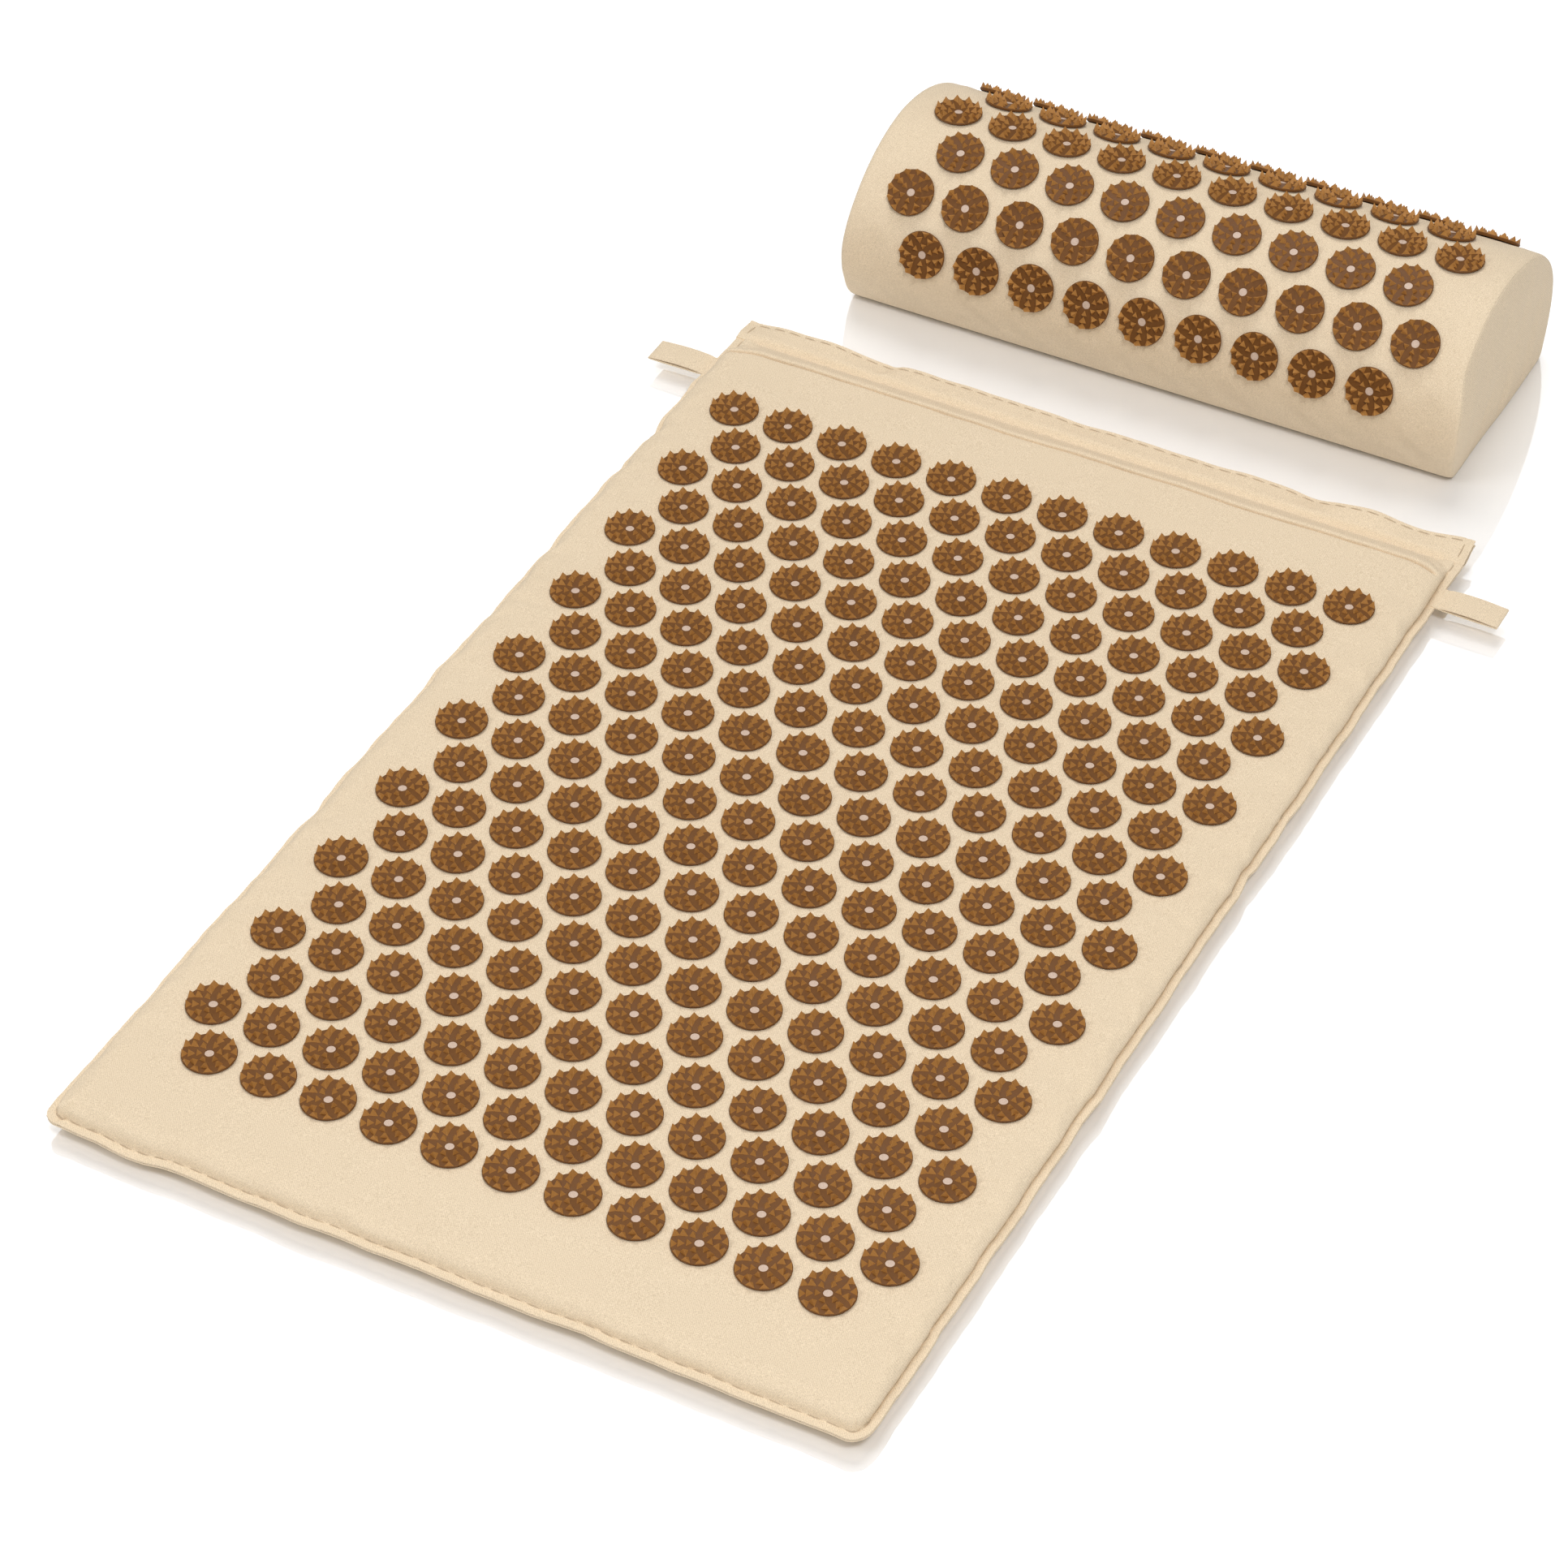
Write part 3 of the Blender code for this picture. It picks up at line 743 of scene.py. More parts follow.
PUFFS = ((207, 1.0, 7), (188, 0.8, 6), (168, 1.0, 7), (108, 0.9, 7), (64, 1.1, 7),
         (-12, 0.6, 8), (-60, 0.8, 9), (-100, 1.0, 8), (-150, 0.8, 9), (-205, 1.0, 9),
         (-262, 0.8, 10), (-310, 0.9, 9), (250, 0.6, 9), (285, 0.7, 8))


def rise_of(x, y, down):
    """0 on the flat sewn edge, 1 on the level field, and the same near the head end."""
    sx = np.sign(x)
    d_side = HALF_W - np.abs(x)
    d_foot = y - FOOT_Y
    beside = d_side <= d_foot
    shift = ripple(y, ((0.25, 61, 0.5 * sx), (0.2, 29, 1.3), (0.1, 14, 2.9)))
    shift = np.where(beside, shift, ripple(x, ((0.3, 83, 0.2), (0.2, 33, 1.0))))
    puff = np.where(beside, bumps(y * sx, PUFFS), 0.3)
    t_side = np.clip((d_side - 4.55 - 0.4 * shift) / (8.6 - 1.2 * puff), 0, 1)
    t_foot = np.clip((d_foot - 5.0 - 0.5 * shift) / (9.6 - 1.2 * puff), 0, 1)
    full = (1 - (1 - t_side) ** 2.7) ** (1 / 2.7)
    f = np.minimum(full, np.sqrt(1 - (1 - t_foot) ** 2))
    if down:
        t = np.clip((FLAP_Y - y - 10.2) / 9.0, 0, 1)
        return f * np.sqrt(1 - (1 - t) ** 2)
    return f


HEAD_STEPS = (
    # behind the crease (+), height over the sewn edge, and the same without the crease
    (-30.0, 6.85, 6.85), (-4.0, 6.85, 6.85), (-2.2, 6.78, 6.82), (-1.2, 6.40, 6.78),
    (-0.65, 5.00, 6.74), (-0.35, 3.30, 6.70), (0.0, 2.30, 6.68), (0.4, 2.25, 6.66),
    (0.70, 3.20, 6.64), (0.90, 4.60, 6.62), (1.1, 5.50, 6.58), (1.6, 6.10, 6.50),
    (2.6, 6.30, 6.35), (3.8, 5.95, 5.98), (5.2, 5.25, 5.28), (7.0, 4.15, 4.20),
    (9.0, 2.95, 3.02), (11.0, 1.85, 1.95), (13.0, 0.95, 1.10), (15.0, 0.45, 0.60),
    (18.0, 0.40, 0.45), (30.0, 0.6, 0.6),
)


def head_dip(x, y):
    """The cloths are drawn down along the mouth's inner stitch line."""
    depth = 1.7 + 0.25 * bumps(x, ((-150, 1.0, 30), (60, -0.6, 50), (150, 0.8, 30)))
    ends = 1 - smooth_step((np.abs(x) - 196) / 9)
    return -depth * np.exp(-(((y - (FLAP_Y + 0.1)) / 2.7) ** 2)) * ends


def head_profile(x, y):
    """Height over the sewn edge near the head end: pad, crease, rolled end, trough.

    The cotton is folded into a narrow crease just before the pad's end; behind it a
    roll of cloth runs along the end, which then drops to the mouth's seam.
    """
    bend = 5.0 * smooth_step((np.abs(x) - 184) / 22) ** 1.5
    fade = np.where(x > 0, 1 - smooth_step((x - 199) / 7), 1.0)
    wander = ripple(x, ((0.35, 160, 0.4), (0.22, 71, 1.9), (0.12, 33, 0.3)))
    crease_y = 308.8 + wander - bend
    steps = np.array(HEAD_STEPS)
    off = y - crease_y
    folded = np.interp(off, steps[:, 0], steps[:, 1])
    plain = np.interp(off, steps[:, 0], steps[:, 2])
    share = 0.80 + 0.25 * bumps(x, ((-160, 1.0, 34), (60, 0.4, 40), (130, 0.6, 30)))
    share = (share + ripple(x, ((0.10, 90, 0.3), (0.06, 37, 1.0)))) * fade
    return plain + (folded - plain) * share


CREASES = (
    # faint folds across the margins: x0, y0, x1, y1, depth, half width
    (-206, 84.6, -186, 83.3, 0.42, 1.5),
    (-205, 71.2, -174, 74.0, 0.50, 1.7),
    (181, 12.8, 204, 8.6, 0.45, 1.6),
    (185, 168.8, 207, 177.4, 0.40, 1.6),
    (-205, -196, -184, -192, 0.30, 1.8),
    (186, -150, 205, -155, 0.28, 1.9),
    (-40, -337, -44, -318, 0.25, 2.2),
    (96, -337, 99, -320, 0.22, 2.0),
    (-204.5, -340.0, -197.5, -331.5, 0.9, 1.1),
)


def creased(x, y):
    out = np.zeros_like(x)
    for x0, y0, x1, y1, depth, width in CREASES:
        dx, dy = x1 - x0, y1 - y0
        t = ((x - x0) * dx + (y - y0) * dy) / (dx * dx + dy * dy)
        off = np.hypot(x - x0 - t * dx, y - y0 - t * dy)
        ends = smooth_step((t + 0.15) / 0.4) * smooth_step((1.15 - t) / 0.4)
        out -= depth * np.exp(-((off / width) ** 2)) * ends
        out += 0.45 * depth * np.exp(-(((off - 2.3 * width) / (1.3 * width)) ** 2)) * ends
    return out


def disc_distance(x, y):
    """Distance to the nearest disc's centre."""
    best = np.full(x.shape, 1e9)
    for j in range(20):
        row_y = ROW_1_Y - j * ROW_PITCH
        half = (11 - j % 2) / 2
        i = np.clip(np.round(x / PITCH + half) - half, -half, half)
        best = np.minimum(best, np.hypot(x - i * PITCH, y - row_y))
    return best


def mat_surface(xs, ys, down):
    """Points of the cover's outer side over the grid of nominal xs and ys."""
    x, y = np.meshgrid(xs, ys)
    sign = -1.0 if down else 1.0
    d_side, d_foot = HALF_W - np.abs(x), y - FOOT_Y
    flange = SEAM_Z + sign * (GAP / 2 + CLOTH)
    full = TOP_Z - (SEAM_Z + GAP / 2 + CLOTH) if not down else SEAM_Z - GAP / 2 - CLOTH
    rise = rise_of(x, y, down)
    if down:
        z = flange - full * rise
    else:
        head = head_profile(x, y)
        z = flange + rise * head
    z = z + head_dip(x, y)
    # the sewn edge wanders, and the wandering fades out over the slope
    fade_side, fade_foot = np.exp(-((d_side / 11) ** 2)), np.exp(-((d_foot / 11) ** 2))
    s = np.where(x > 0, 1, -1)
    lift = np.where(x > 0, side_lift(y, 1), side_lift(y, -1)) * fade_side
    lift = lift * (1 - fade_foot) + foot_lift(x) * fade_foot
    z = z + lift * (1 - 0.75 * rise)
    out_x = s * np.where(x > 0, side_out(y, 1), side_out(y, -1)) * fade_side
    out_y = -foot_out(x) * fade_foot
    nx, ny = round_corner(x, y)
    # the slope leans out over the stitch line where the edge puffs
    puff = bumps(y * s, PUFFS) * np.exp(-(((d_side - 6.8) / 1.8) ** 2))
    lean = 0.8 * puff * (1 if not down else 0.5)
    steep = np.where(d_side < d_foot, 4 * rise * (1 - rise), 0.0) * smooth_step((d_foot - 6) / 14)
    bulge = np.where(x > 0, 1.2, 1.2) * steep * smooth_step((FLAP_Y - 8 - y) / 14)
    if down:
        bulge = bulge * 0.6
    nx = nx + out_x + s * (bulge + lean * (d_foot > 20))
    ny = ny + out_y
    # the stitch line is drawn in between the two cloths
    d = np.minimum(d_side, d_foot)
    groove = 0.36 * np.exp(-(((d - STITCH) / 0.45) ** 2))
    pull = 1.0 + 0.25 * np.sin(2 * math.pi * np.where(d_side < d_foot, y, x) / 9.2)
    z = z - sign * groove * pull
    if down:
        # the underside lies flat on the floor inside the slope
        z = np.maximum(z, 0.0)
    else:
        # the discs are pressed in, the cotton stands up round them, the field rolls slightly
        r = disc_distance(x, y)
        z = z + 0.50 * rise * smooth_step((r - 12.3) / 1.8) * (1 - 0.7 * smooth_step((r - 18) / 16))
        roll = ripple(x + 0.35 * y, ((0.20, 131, 0.3), (0.10, 57, 1.7)))
        roll = roll + ripple(y - 0.2 * x, ((0.18, 97, 2.0), (0.10, 43, 0.9)))
        z = z + 0.55 * roll * rise * smooth_step((r - 14) / 10)
        z = z + creased(x, y) * smooth_step((r - 13.0) / 5)
    return np.stack([nx, ny, z], 2)


def spaced(marks):
    """Positions from (end, step) pairs, evenly spread between the ends."""
    out = [marks[0]]
    for end, step in marks[1:]:
        n = max(1, int(round(abs(end - out[-1]) / step)))
        out += list(np.linspace(out[-1], end, n + 1)[1:])
    return np.array(out)


half_x = spaced((0.0, (4.0, 0.66), (5.2, 0.4), (11.0, 0.72), (18.0, 1.1), (30.0, 2.4), (HALF_W, 5.6)))
FINE_X = np.concatenate([-HALF_W + half_x, (HALF_W - half_x[:-1])[::-1]])
FINE_Y = spaced(
    (
        FOOT_Y,
        (FOOT_Y + 4.0, 0.66),
        (FOOT_Y + 5.2, 0.4),
        (FOOT_Y + 11.0, 0.72),
        (FOOT_Y + 18.0, 1.1),
        (FOLD_Y - 3.5, 2.5),
        (FOLD_Y - 1.6, 0.6),
        (FOLD_Y + 1.6, 0.16),
        (FOLD_Y + 3.5, 0.6),
        (298.0, 2.5),
        (302.5, 1.0),
        (314.0, 0.26),
        (319.0, 0.42),
        (FLAP_Y, 0.6),
    )
)
half_c = spaced((0.0, (STITCH, 1.6), (11.0, 1.6), (20.0, 3.0), (HALF_W, 9.0)))
COARSE_X = np.concatenate([-HALF_W + half_c, (HALF_W - half_c[:-1])[::-1]])
COARSE_Y = spaced(
    (
        FOOT_Y,
        (FOOT_Y + STITCH, 1.6),
        (FOOT_Y + 11.0, 1.6),
        (FOOT_Y + 20.0, 3.0),
        (FOLD_Y - 2.4, 3.6),
        (FOLD_Y - 1.6, 0.8),
        (FOLD_Y + 1.6, 0.16),
        (FOLD_Y + 2.4, 0.8),
        (FLAP_Y - 20.0, 3.6),
        (FLAP_Y, 1.6),
    )
)


def swollen_mat():
    """Displacements of the cover's two sides on a simulation grid, from cloth."""
    half = spaced((0.0, (STITCH, 2.2), (10.0, 1.9), (18.0, 2.7), (30.0, 4.0), (HALF_W, 8.5)))
    xs = np.concatenate([-HALF_W + half, (HALF_W - half[:-1])[::-1]])
    ys = spaced(
        (
            FOOT_Y,
            (FOOT_Y + STITCH, 2.2),
            (FOOT_Y + 10.0, 1.9),
            (FOOT_Y + 18.0, 2.7),
            (298.0, 4.2),
            (FLAP_Y, 2.4),
        )
    )
    top, under = mat_surface(xs, ys, False), mat_surface(xs, ys, True)
    rows, columns = len(ys), len(xs)
    count = rows * columns
    co = np.concatenate([top.reshape(-1, 3), under.reshape(-1, 3)])
    rim = np.concatenate(
        [
            np.arange(columns),
            np.arange(1, rows) * columns + columns - 1,
            (rows - 1) * columns + np.arange(columns - 2, -1, -1),
            np.arange(rows - 2, 0, -1) * columns,
        ]
    )
    after = np.roll(rim, -1)
    faces = [
        grid_faces(rows, columns, 0),
        grid_faces(rows, columns, count, True),
        np.stack([after, rim, rim + count, after + count], 1),
    ]
    x, y = np.meshgrid(xs, ys)
    d = np.minimum(HALF_W - np.abs(x), y - FOOT_Y)
    r = disc_distance(x, y)
    at_fold = smooth_step((np.abs(y - FOLD_Y) - 4) / 14)
    edge = smooth_step((d - 4.6) / 2.5)
    head = smooth_step((FLAP_Y - 3.0 - y) / 4)
    free_top = edge * head * smooth_step((r - 13.5) / 7) * at_fold
    lifted = 1 - smooth_step((d - 10) / 9)
    lifted = np.maximum(lifted, 1 - smooth_step((FLAP_Y - y - 12) / 9))
    free_under = edge * head * at_fold * lifted
    free = np.concatenate([free_top.ravel(), free_under.ravel()])
    most = 0.12 + 0.40 * np.exp(-(((d - 9) / 6) ** 2)) * head
    most = np.concatenate([most.ravel(), most.ravel()])
    moved = swell("mat_swell", co, faces, free, 2.0, most, shrink=-0.010, bending=0.5)
    moved = moved * smooth_step(free * 2.2)[:, None]
    moved = moved.reshape(2, rows, columns, 3)
    return xs, ys, moved[0], moved[1]


def refined(xs, ys, moved, fine_x, fine_y):
    """The simulated movement on a finer grid, through cubic splines."""
    across, along = spline_matrix(xs, fine_x), spline_matrix(ys, fine_y)
    return np.stack([along @ moved[:, :, k] @ across.T for k in range(3)], 2)


top_points = mat_surface(FINE_X, FINE_Y, False)
under_points = mat_surface(COARSE_X, COARSE_Y, True)
sim_x, sim_y, top_moved, under_moved = swollen_mat()
top_points = top_points + refined(sim_x, sim_y, top_moved, FINE_X, FINE_Y)
under_points = under_points + refined(sim_x, sim_y, under_moved, COARSE_X, COARSE_Y)
# nothing rises into the discs, which stand 0.3 mm over the cotton, or under the floor
gx, gy = np.meshgrid(FINE_X, FINE_Y)
disc_r = disc_distance(gx, gy)
ceiling = TOP_Z + 0.22 + 0.50 * smooth_step((disc_r - 12.3) / 1.8)
top_points[..., 2] = np.where(
    disc_r < 14.5, np.minimum(top_points[..., 2], ceiling), top_points[..., 2]
)
under_points[..., 2] = np.maximum(under_points[..., 2], 0.0)


top_cover = shell("mat_top_cover", top_points, CLOTH, [COTTON, COTTON_INSIDE])
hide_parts("mat_top_cover_head_half", "mat_top_cover_foot_half")
bottom_cover = shell(
    "mat_bottom_cover", under_points, CLOTH, [COTTON, COTTON_INSIDE], flip=True
)
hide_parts("mat_bottom_cover_head_half", "mat_bottom_cover_foot_half")
for cover, field in ((top_cover, top_points), (bottom_cover, under_points)):
    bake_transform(cover)

# ------------------------------------------------------------------ mat foam


def slab(name, xs, ys, low, high, round_over, material):
    """A foam slab with softly rounded edges and a slightly uneven skin."""
    x, y = np.meshgrid(xs, ys)
    edge = np.minimum(
        np.minimum(x - xs[0], xs[-1] - x), np.minimum(y - ys[0], ys[-1] - y)
    )
    t = np.clip(edge / round_over, 0, 1)
    drop = round_over * 0.55 * (1 - np.sqrt(1 - (1 - t) ** 2))
    skin = ripple(x + 0.3 * y, ((0.06, 31, 0.2), (0.05, 13, 1.1))) + ripple(
        y - 0.2 * x, ((0.06, 37, 2.2), (0.05, 17, 0.4))
    )
    top = np.stack([x, y, high - drop + skin * t], 2)
    bottom = np.stack([x, y, low + drop * 0.8 + 0 * skin], 2)
    rows, columns, _ = top.shape
    return shell(name, top, 0, [material], inner_shift=bottom - top, sharp=60)


foam_x = spaced((-200.0, (-194.0, 1.2), (194.0, 9.7), (200.0, 1.2)))
foam_y = spaced(
    (-330.5, (-324.5, 1.2), (FOLD_Y - 1.6, 8.0), (FOLD_Y + 1.6, 0.2), (298.0, 8.0), (305.5, 1.2))
)
foam = slab("mat_foam_pad", foam_x, foam_y, 1.15, 15.9, 6.0, FOAM)
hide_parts("mat_foam_head_half", "mat_foam_foot_half")
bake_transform(foam)

# ------------------------------------------------------------------ sewing


def stitches(name, lines, length=8.3, gap=0.95, radius=0.34, sides=6, rings=7):
    """Separate stitches along lines of (points, outward directions)."""
    co, faces = [], []
    turn = np.arange(sides) * 2 * math.pi / sides
    for points, out in lines:
        points, out = np.asarray(points, float), np.asarray(out, float)
        step = np.linalg.norm(np.diff(points, axis=0), axis=1)
        gone = np.concatenate([[0], np.cumsum(step)])
        total = gone[-1]
        number = max(1, int(total // (length + gap)))
        pitch = total / number
        each = pitch - gap
        for k in range(number):
            a = k * pitch + gap / 2
            s = np.linspace(a, a + each, rings)
            p = np.stack([np.interp(s, gone, points[:, i]) for i in range(3)], 1)
            n = np.stack([np.interp(s, gone, out[:, i]) for i in range(3)], 1)
            n /= np.linalg.norm(n, axis=1, keepdims=True)
            t = np.gradient(p, axis=0)
            t /= np.maximum(np.linalg.norm(t, axis=1, keepdims=True), 1e-9)
            b = np.cross(t, n)
            b /= np.maximum(np.linalg.norm(b, axis=1, keepdims=True), 1e-9)
            share = np.linspace(-1, 1, rings)
            sink = radius * (1.35 * np.abs(share) ** 4 - 0.7 * (1 - share**2))
            size = radius * (1 - 0.35 * np.abs(share) ** 6)
            slant = 0.16 * share
            start = len(co)
            for i in range(rings):
                centre = p[i] - n[i] * sink[i] + b[i] * slant[i]
                for angle in turn:
                    co.append(
                        centre
                        + size[i] * (math.cos(angle) * b[i] + 0.8 * math.sin(angle) * n[i])
                    )
            for i in range(rings - 1):
                for m in range(sides):
                    n2 = (m + 1) % sides
                    faces.append(
                        (
                            start + i * sides + m,
                            start + i * sides + n2,
                            start + (i + 1) * sides + n2,
                            start + (i + 1) * sides + m,
                        )
                    )
            first, last = start, start + (rings - 1) * sides
            for m in range(1, sides - 1, 2):
                faces.append((first, first + (m + 2) % sides, first + m + 1, first + m))
                faces.append((last, last + m, last + m + 1, last + (m + 2) % sides))
    faces = np.array(faces)
    obj = mesh_object(name, np.array(co), [faces], [THREAD_PAINTED_SHADE])
    bm = bmesh.new()
    bm.from_mesh(obj.data)
    bmesh.ops.recalc_face_normals(bm, faces=bm.faces)
    bm.to_mesh(obj.data)
    bm.free()
    obj.data.shade_smooth()
    return obj


def over(field, xs, ys, line):
    """Points and outward normals on a field above nominal positions."""
    line = np.asarray(line, float)
    normal = grid_normals(field)
    out = []
    for source in (field, normal):
        i = np.clip(np.searchsorted(ys, line[:, 1]) - 1, 0, len(ys) - 2)
        j = np.clip(np.searchsorted(xs, line[:, 0]) - 1, 0, len(xs) - 2)
        v = ((line[:, 1] - ys[i]) / (ys[i + 1] - ys[i]))[:, None]
        u = ((line[:, 0] - xs[j]) / (xs[j + 1] - xs[j]))[:, None]
        out.append(
            source[i, j] * (1 - u) * (1 - v)
            + source[i, j + 1] * u * (1 - v)
            + source[i + 1, j] * (1 - u) * v
            + source[i + 1, j + 1] * u * v
        )
    return out


def run(x0, y0, x1, y1, step=1.0):
    n = max(2, int(math.hypot(x1 - x0, y1 - y0) / step))
    t = np.linspace(0, 1, n)[:, None]
    return np.array([[x0, y0]]) * (1 - t) + np.array([[x1, y1]]) * t


side_in = HALF_W - STITCH
foot_in = FOOT_Y + STITCH
for name, field, xs, ys, flip in (
    ("upper", top_points, FINE_X, FINE_Y, 1),
    ("lower", under_points, COARSE_X, COARSE_Y, -1),
):
    sides = []
    for s in (-1, 1):
        p, n = over(field, xs, ys, run(s * side_in, foot_in + 12, s * side_in, FLAP_Y - 0.4))
        sides.append((p, n * flip))
    thread = stitches(f"side_stitching_{name}", sides)
    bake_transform(thread)
    corner = 12.0
    line = np.concatenate(
        [
            run(-side_in, foot_in + corner, -side_in, foot_in + 0.01),
            run(-side_in, foot_in, side_in, foot_in)[1:-1],
            run(side_in, foot_in + 0.01, side_in, foot_in + corner),
        ]
    )
    p, n = over(field, xs, ys, line)
    thread = stitches(f"foot_stitching_{name}", [(p, n * flip)])
    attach(thread, "mat_foot_half")

# ------------------------------------------------------------------ head mouth


LIP_UP = (
    (-205, -1.6, 10), (-160, 0.9, 18), (-128, -2.4, 13), (0, -1.6, 22), (60, -0.7, 18),
    (122, -3.0, 12), (154, 4.2, 13), (207, 3.6, 13), (184, -0.5, 9),
)


def lip_wave(x):
    """How far the free edge of the mouth stands up at x."""
    return bumps(x, LIP_UP) + ripple(x, ((0.3, 61, 0.5), (0.18, 27, 1.3)))


def lip_field(base_z, y0, y1, half, inset, sign, columns=240, rows=16, seams=True):
    """One lip or tape of the mouth, as a field of points."""
    xs = np.linspace(-half, half, columns)
    ys = np.linspace(y0, y1, rows)
    x, y = np.meshgrid(xs, ys)
    t = smooth_step((y - FLAP_Y) / (HEAD_Y - FLAP_Y))
    wave = lip_wave(x)
    z = base_z + wave * t**1.3
    nx = x + np.sign(x) * side_out(y, 1) * np.exp(-(((HALF_W - np.abs(x)) / 10) ** 2)) * 0.5
    # the free edge is uneven, and stands back where it dips
    ny = y + t * (ripple(x, ((0.4, 97, 1.2), (0.25, 41, 0.4))) - 0.25 * wave)
    # a slanting wrinkle runs from the dip towards the stitch line
    along = (x + 128 - 0.5 * (y - 333)) / 3.0
    wrinkle = -0.7 * np.exp(-(along**2)) * smooth_step((y - 327) / 6)
    wrinkle += 0.4 * np.exp(-(((x + 121 - 0.5 * (y - 333)) / 4.0) ** 2)) * smooth_step((y - 327) / 6)
    z = z + wrinkle + head_dip(x, y)
    if seams:
        z = z - sign * 0.30 * np.exp(-(((y - (HEAD_Y - 2.2)) / 0.7) ** 2))
        z = z - sign * 0.35 * np.exp(-(((np.abs(x) - (HALF_W - STITCH)) / 0.7) ** 2))
        z = z - sign * 0.30 * np.exp(-(((y - (FLAP_Y + 0.1)) / 0.7) ** 2))
        z = z + sign * 0.22 * np.exp(-(((y - (FLAP_Y + 5)) / 3.0) ** 2))
    return xs, ys, np.stack([nx, ny, z], 2)


upper_z, lower_z = SEAM_Z + 1.75, SEAM_Z - 1.75
mouth = {}
for name, node, z, sign, columns in (
    ("mouth_upper_lip_cloth", "mouth_upper_lip", upper_z, 1, 300),
    ("mouth_lower_lip_cloth", "mouth_lower_lip", lower_z, -1, 220),
):
    xs, ys, field = lip_field(z, FLAP_Y - 0.6, HEAD_Y, HALF_W, 0, sign, columns, 26)
    # the root is tucked level with the flange that it is sewn to
    root = 1 - smooth_step((ys - (FLAP_Y - 0.6)) / 5.0)
    flange = SEAM_Z + sign * (GAP / 2 + CLOTH + 0.12)
    field[..., 2] += (flange - z) * root[:, None]
    mouth[name] = (xs, ys, field)
    obj = shell(name, field, CLOTH, [COTTON, COTTON_INSIDE], flip=sign < 0)
    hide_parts(node)
    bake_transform(obj)

for name, node, z, material, sign in (
    ("mouth_hook_tape_strip", "mouth_hook_tape", SEAM_Z + 0.86, HOOK, 1),
    ("mouth_loop_tape_strip", "mouth_loop_tape", SEAM_Z - 0.14, LOOP, 1),
):
    xs, ys, field = lip_field(z, FLAP_Y + 1.5, HEAD_Y - 1.6, HALF_W - 8, 0, 1, 220, 14, False)
    obj = shell(name, field, 0.7, [material])
    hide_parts(node)
    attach(obj, "head_flap")

lines_head, lines_flap = [], []
for name, flip in (("mouth_upper_lip_cloth", 1), ("mouth_lower_lip_cloth", -1)):
    xs, ys, field = mouth[name]
    p, n = over(field, xs, ys, run(-side_in + 0.5, FLAP_Y + 0.1, side_in - 0.5, FLAP_Y + 0.1))
    lines_head.append((p, n * flip))
    p, n = over(field, xs, ys, run(-side_in, HEAD_Y - 2.2, side_in, HEAD_Y - 2.2))
    lines_flap.append((p, n * flip))
    for s in (-1, 1):
        p, n = over(field, xs, ys, run(s * side_in, FLAP_Y + 2.2, s * side_in, HEAD_Y - 2.4))
        lines_flap.append((p, n * flip))
inner_line = stitches("mouth_inner_stitching", lines_head)
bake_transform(inner_line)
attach(stitches("mouth_edge_stitching", lines_flap), "head_flap")

# ------------------------------------------------------------------ tabs


def tab(name, node, side):
    """A strip of cover cotton, folded double and sewn into the side seam."""
    width, layer = 16.0, 0.62
    rows = 14
    path = []
    for s in np.linspace(0, 1, 22):
        x = 208.6 + (243.9 - 208.6) * s
        lens = 0.62 * math.sin(math.pi * min(1, max(0, (s - 0.12) / 0.88))) ** 1.0
        pinch = 1 - smooth_step((x - 210.5) / 5.0)
        path.append((x, 10.25 + lens - 0.72 * pinch, 1))
    for a in np.linspace(80, -80, 9):
        r = math.radians(a)
        path.append((244.0 + 0.95 * math.cos(r), 9.5 + 0.85 * math.sin(r), 0))
    for s in np.linspace(1, 0, 22):
        x = 208.6 + (243.9 - 208.6) * s
        lens = 0.30 * math.sin(math.pi * min(1, max(0, (s - 0.12) / 0.88)))
        pinch = 1 - smooth_step((x - 210.5) / 5.0)
        path.append((x, 8.72 - lens + 0.62 * pinch, -1))
    path = np.array(path)
    ys = np.linspace(-width / 2, width / 2, rows)
    x = np.repeat(path[:, 0][None, :], rows, 0)
    z = np.repeat(path[:, 1][None, :], rows, 0)
    across = ys[:, None] / (width / 2)
    y = 295.6 + ys[:, None] + 0.25 * np.sin((x - 210) / 9.0) * np.abs(across)
    crown = 0.22 * (1 - across**2) * smooth_step((x - 213) / 8)
    z = z + np.where(path[:, 2][None, :] > 0, crown, -0.3 * crown)
    sag = 0.35 * smooth_step((x - 215) / 30) * side
    z = z - np.abs(sag) * 0.6
    field = np.stack([side * x, y, z], 2)
    obj = shell(name, field, layer, [COTTON], flip=side < 0, sharp=60)
    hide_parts(node)
    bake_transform(obj)
    return obj


tab("right_tab_strip", "right_tab", 1)
tab("left_tab_strip", "left_tab", -1)

# ------------------------------------------------------------------ pillow shape


def side_y(z, widest):
    t = (P_WIDE_Z - z) / P_WIDE_Z
    return P_BASE_W + (widest - P_BASE_W) * np.cos(t * math.pi / 2)


def arch(a):
    """(y, z) and outward normal on the arch, from a = 0 at the front to pi at the back."""
    back = a > math.pi / 2
    half = P_BACK_W - P_CROWN_Y if back else P_FRONT_W + P_CROWN_Y
    rise = P_H - P_WIDE_Z
    across = max(0.0, abs(math.cos(a))) ** (2 / P_ARCH)
    high = max(0.0, math.sin(a)) ** (2 / P_ARCH)
    side = 1 if back else -1
    n = Vector((side * across ** (P_ARCH - 1) / half, high ** (P_ARCH - 1) / rise))
    n.normalize()
    return P_CROWN_Y + side * half * across, P_WIDE_Z + rise * high, n


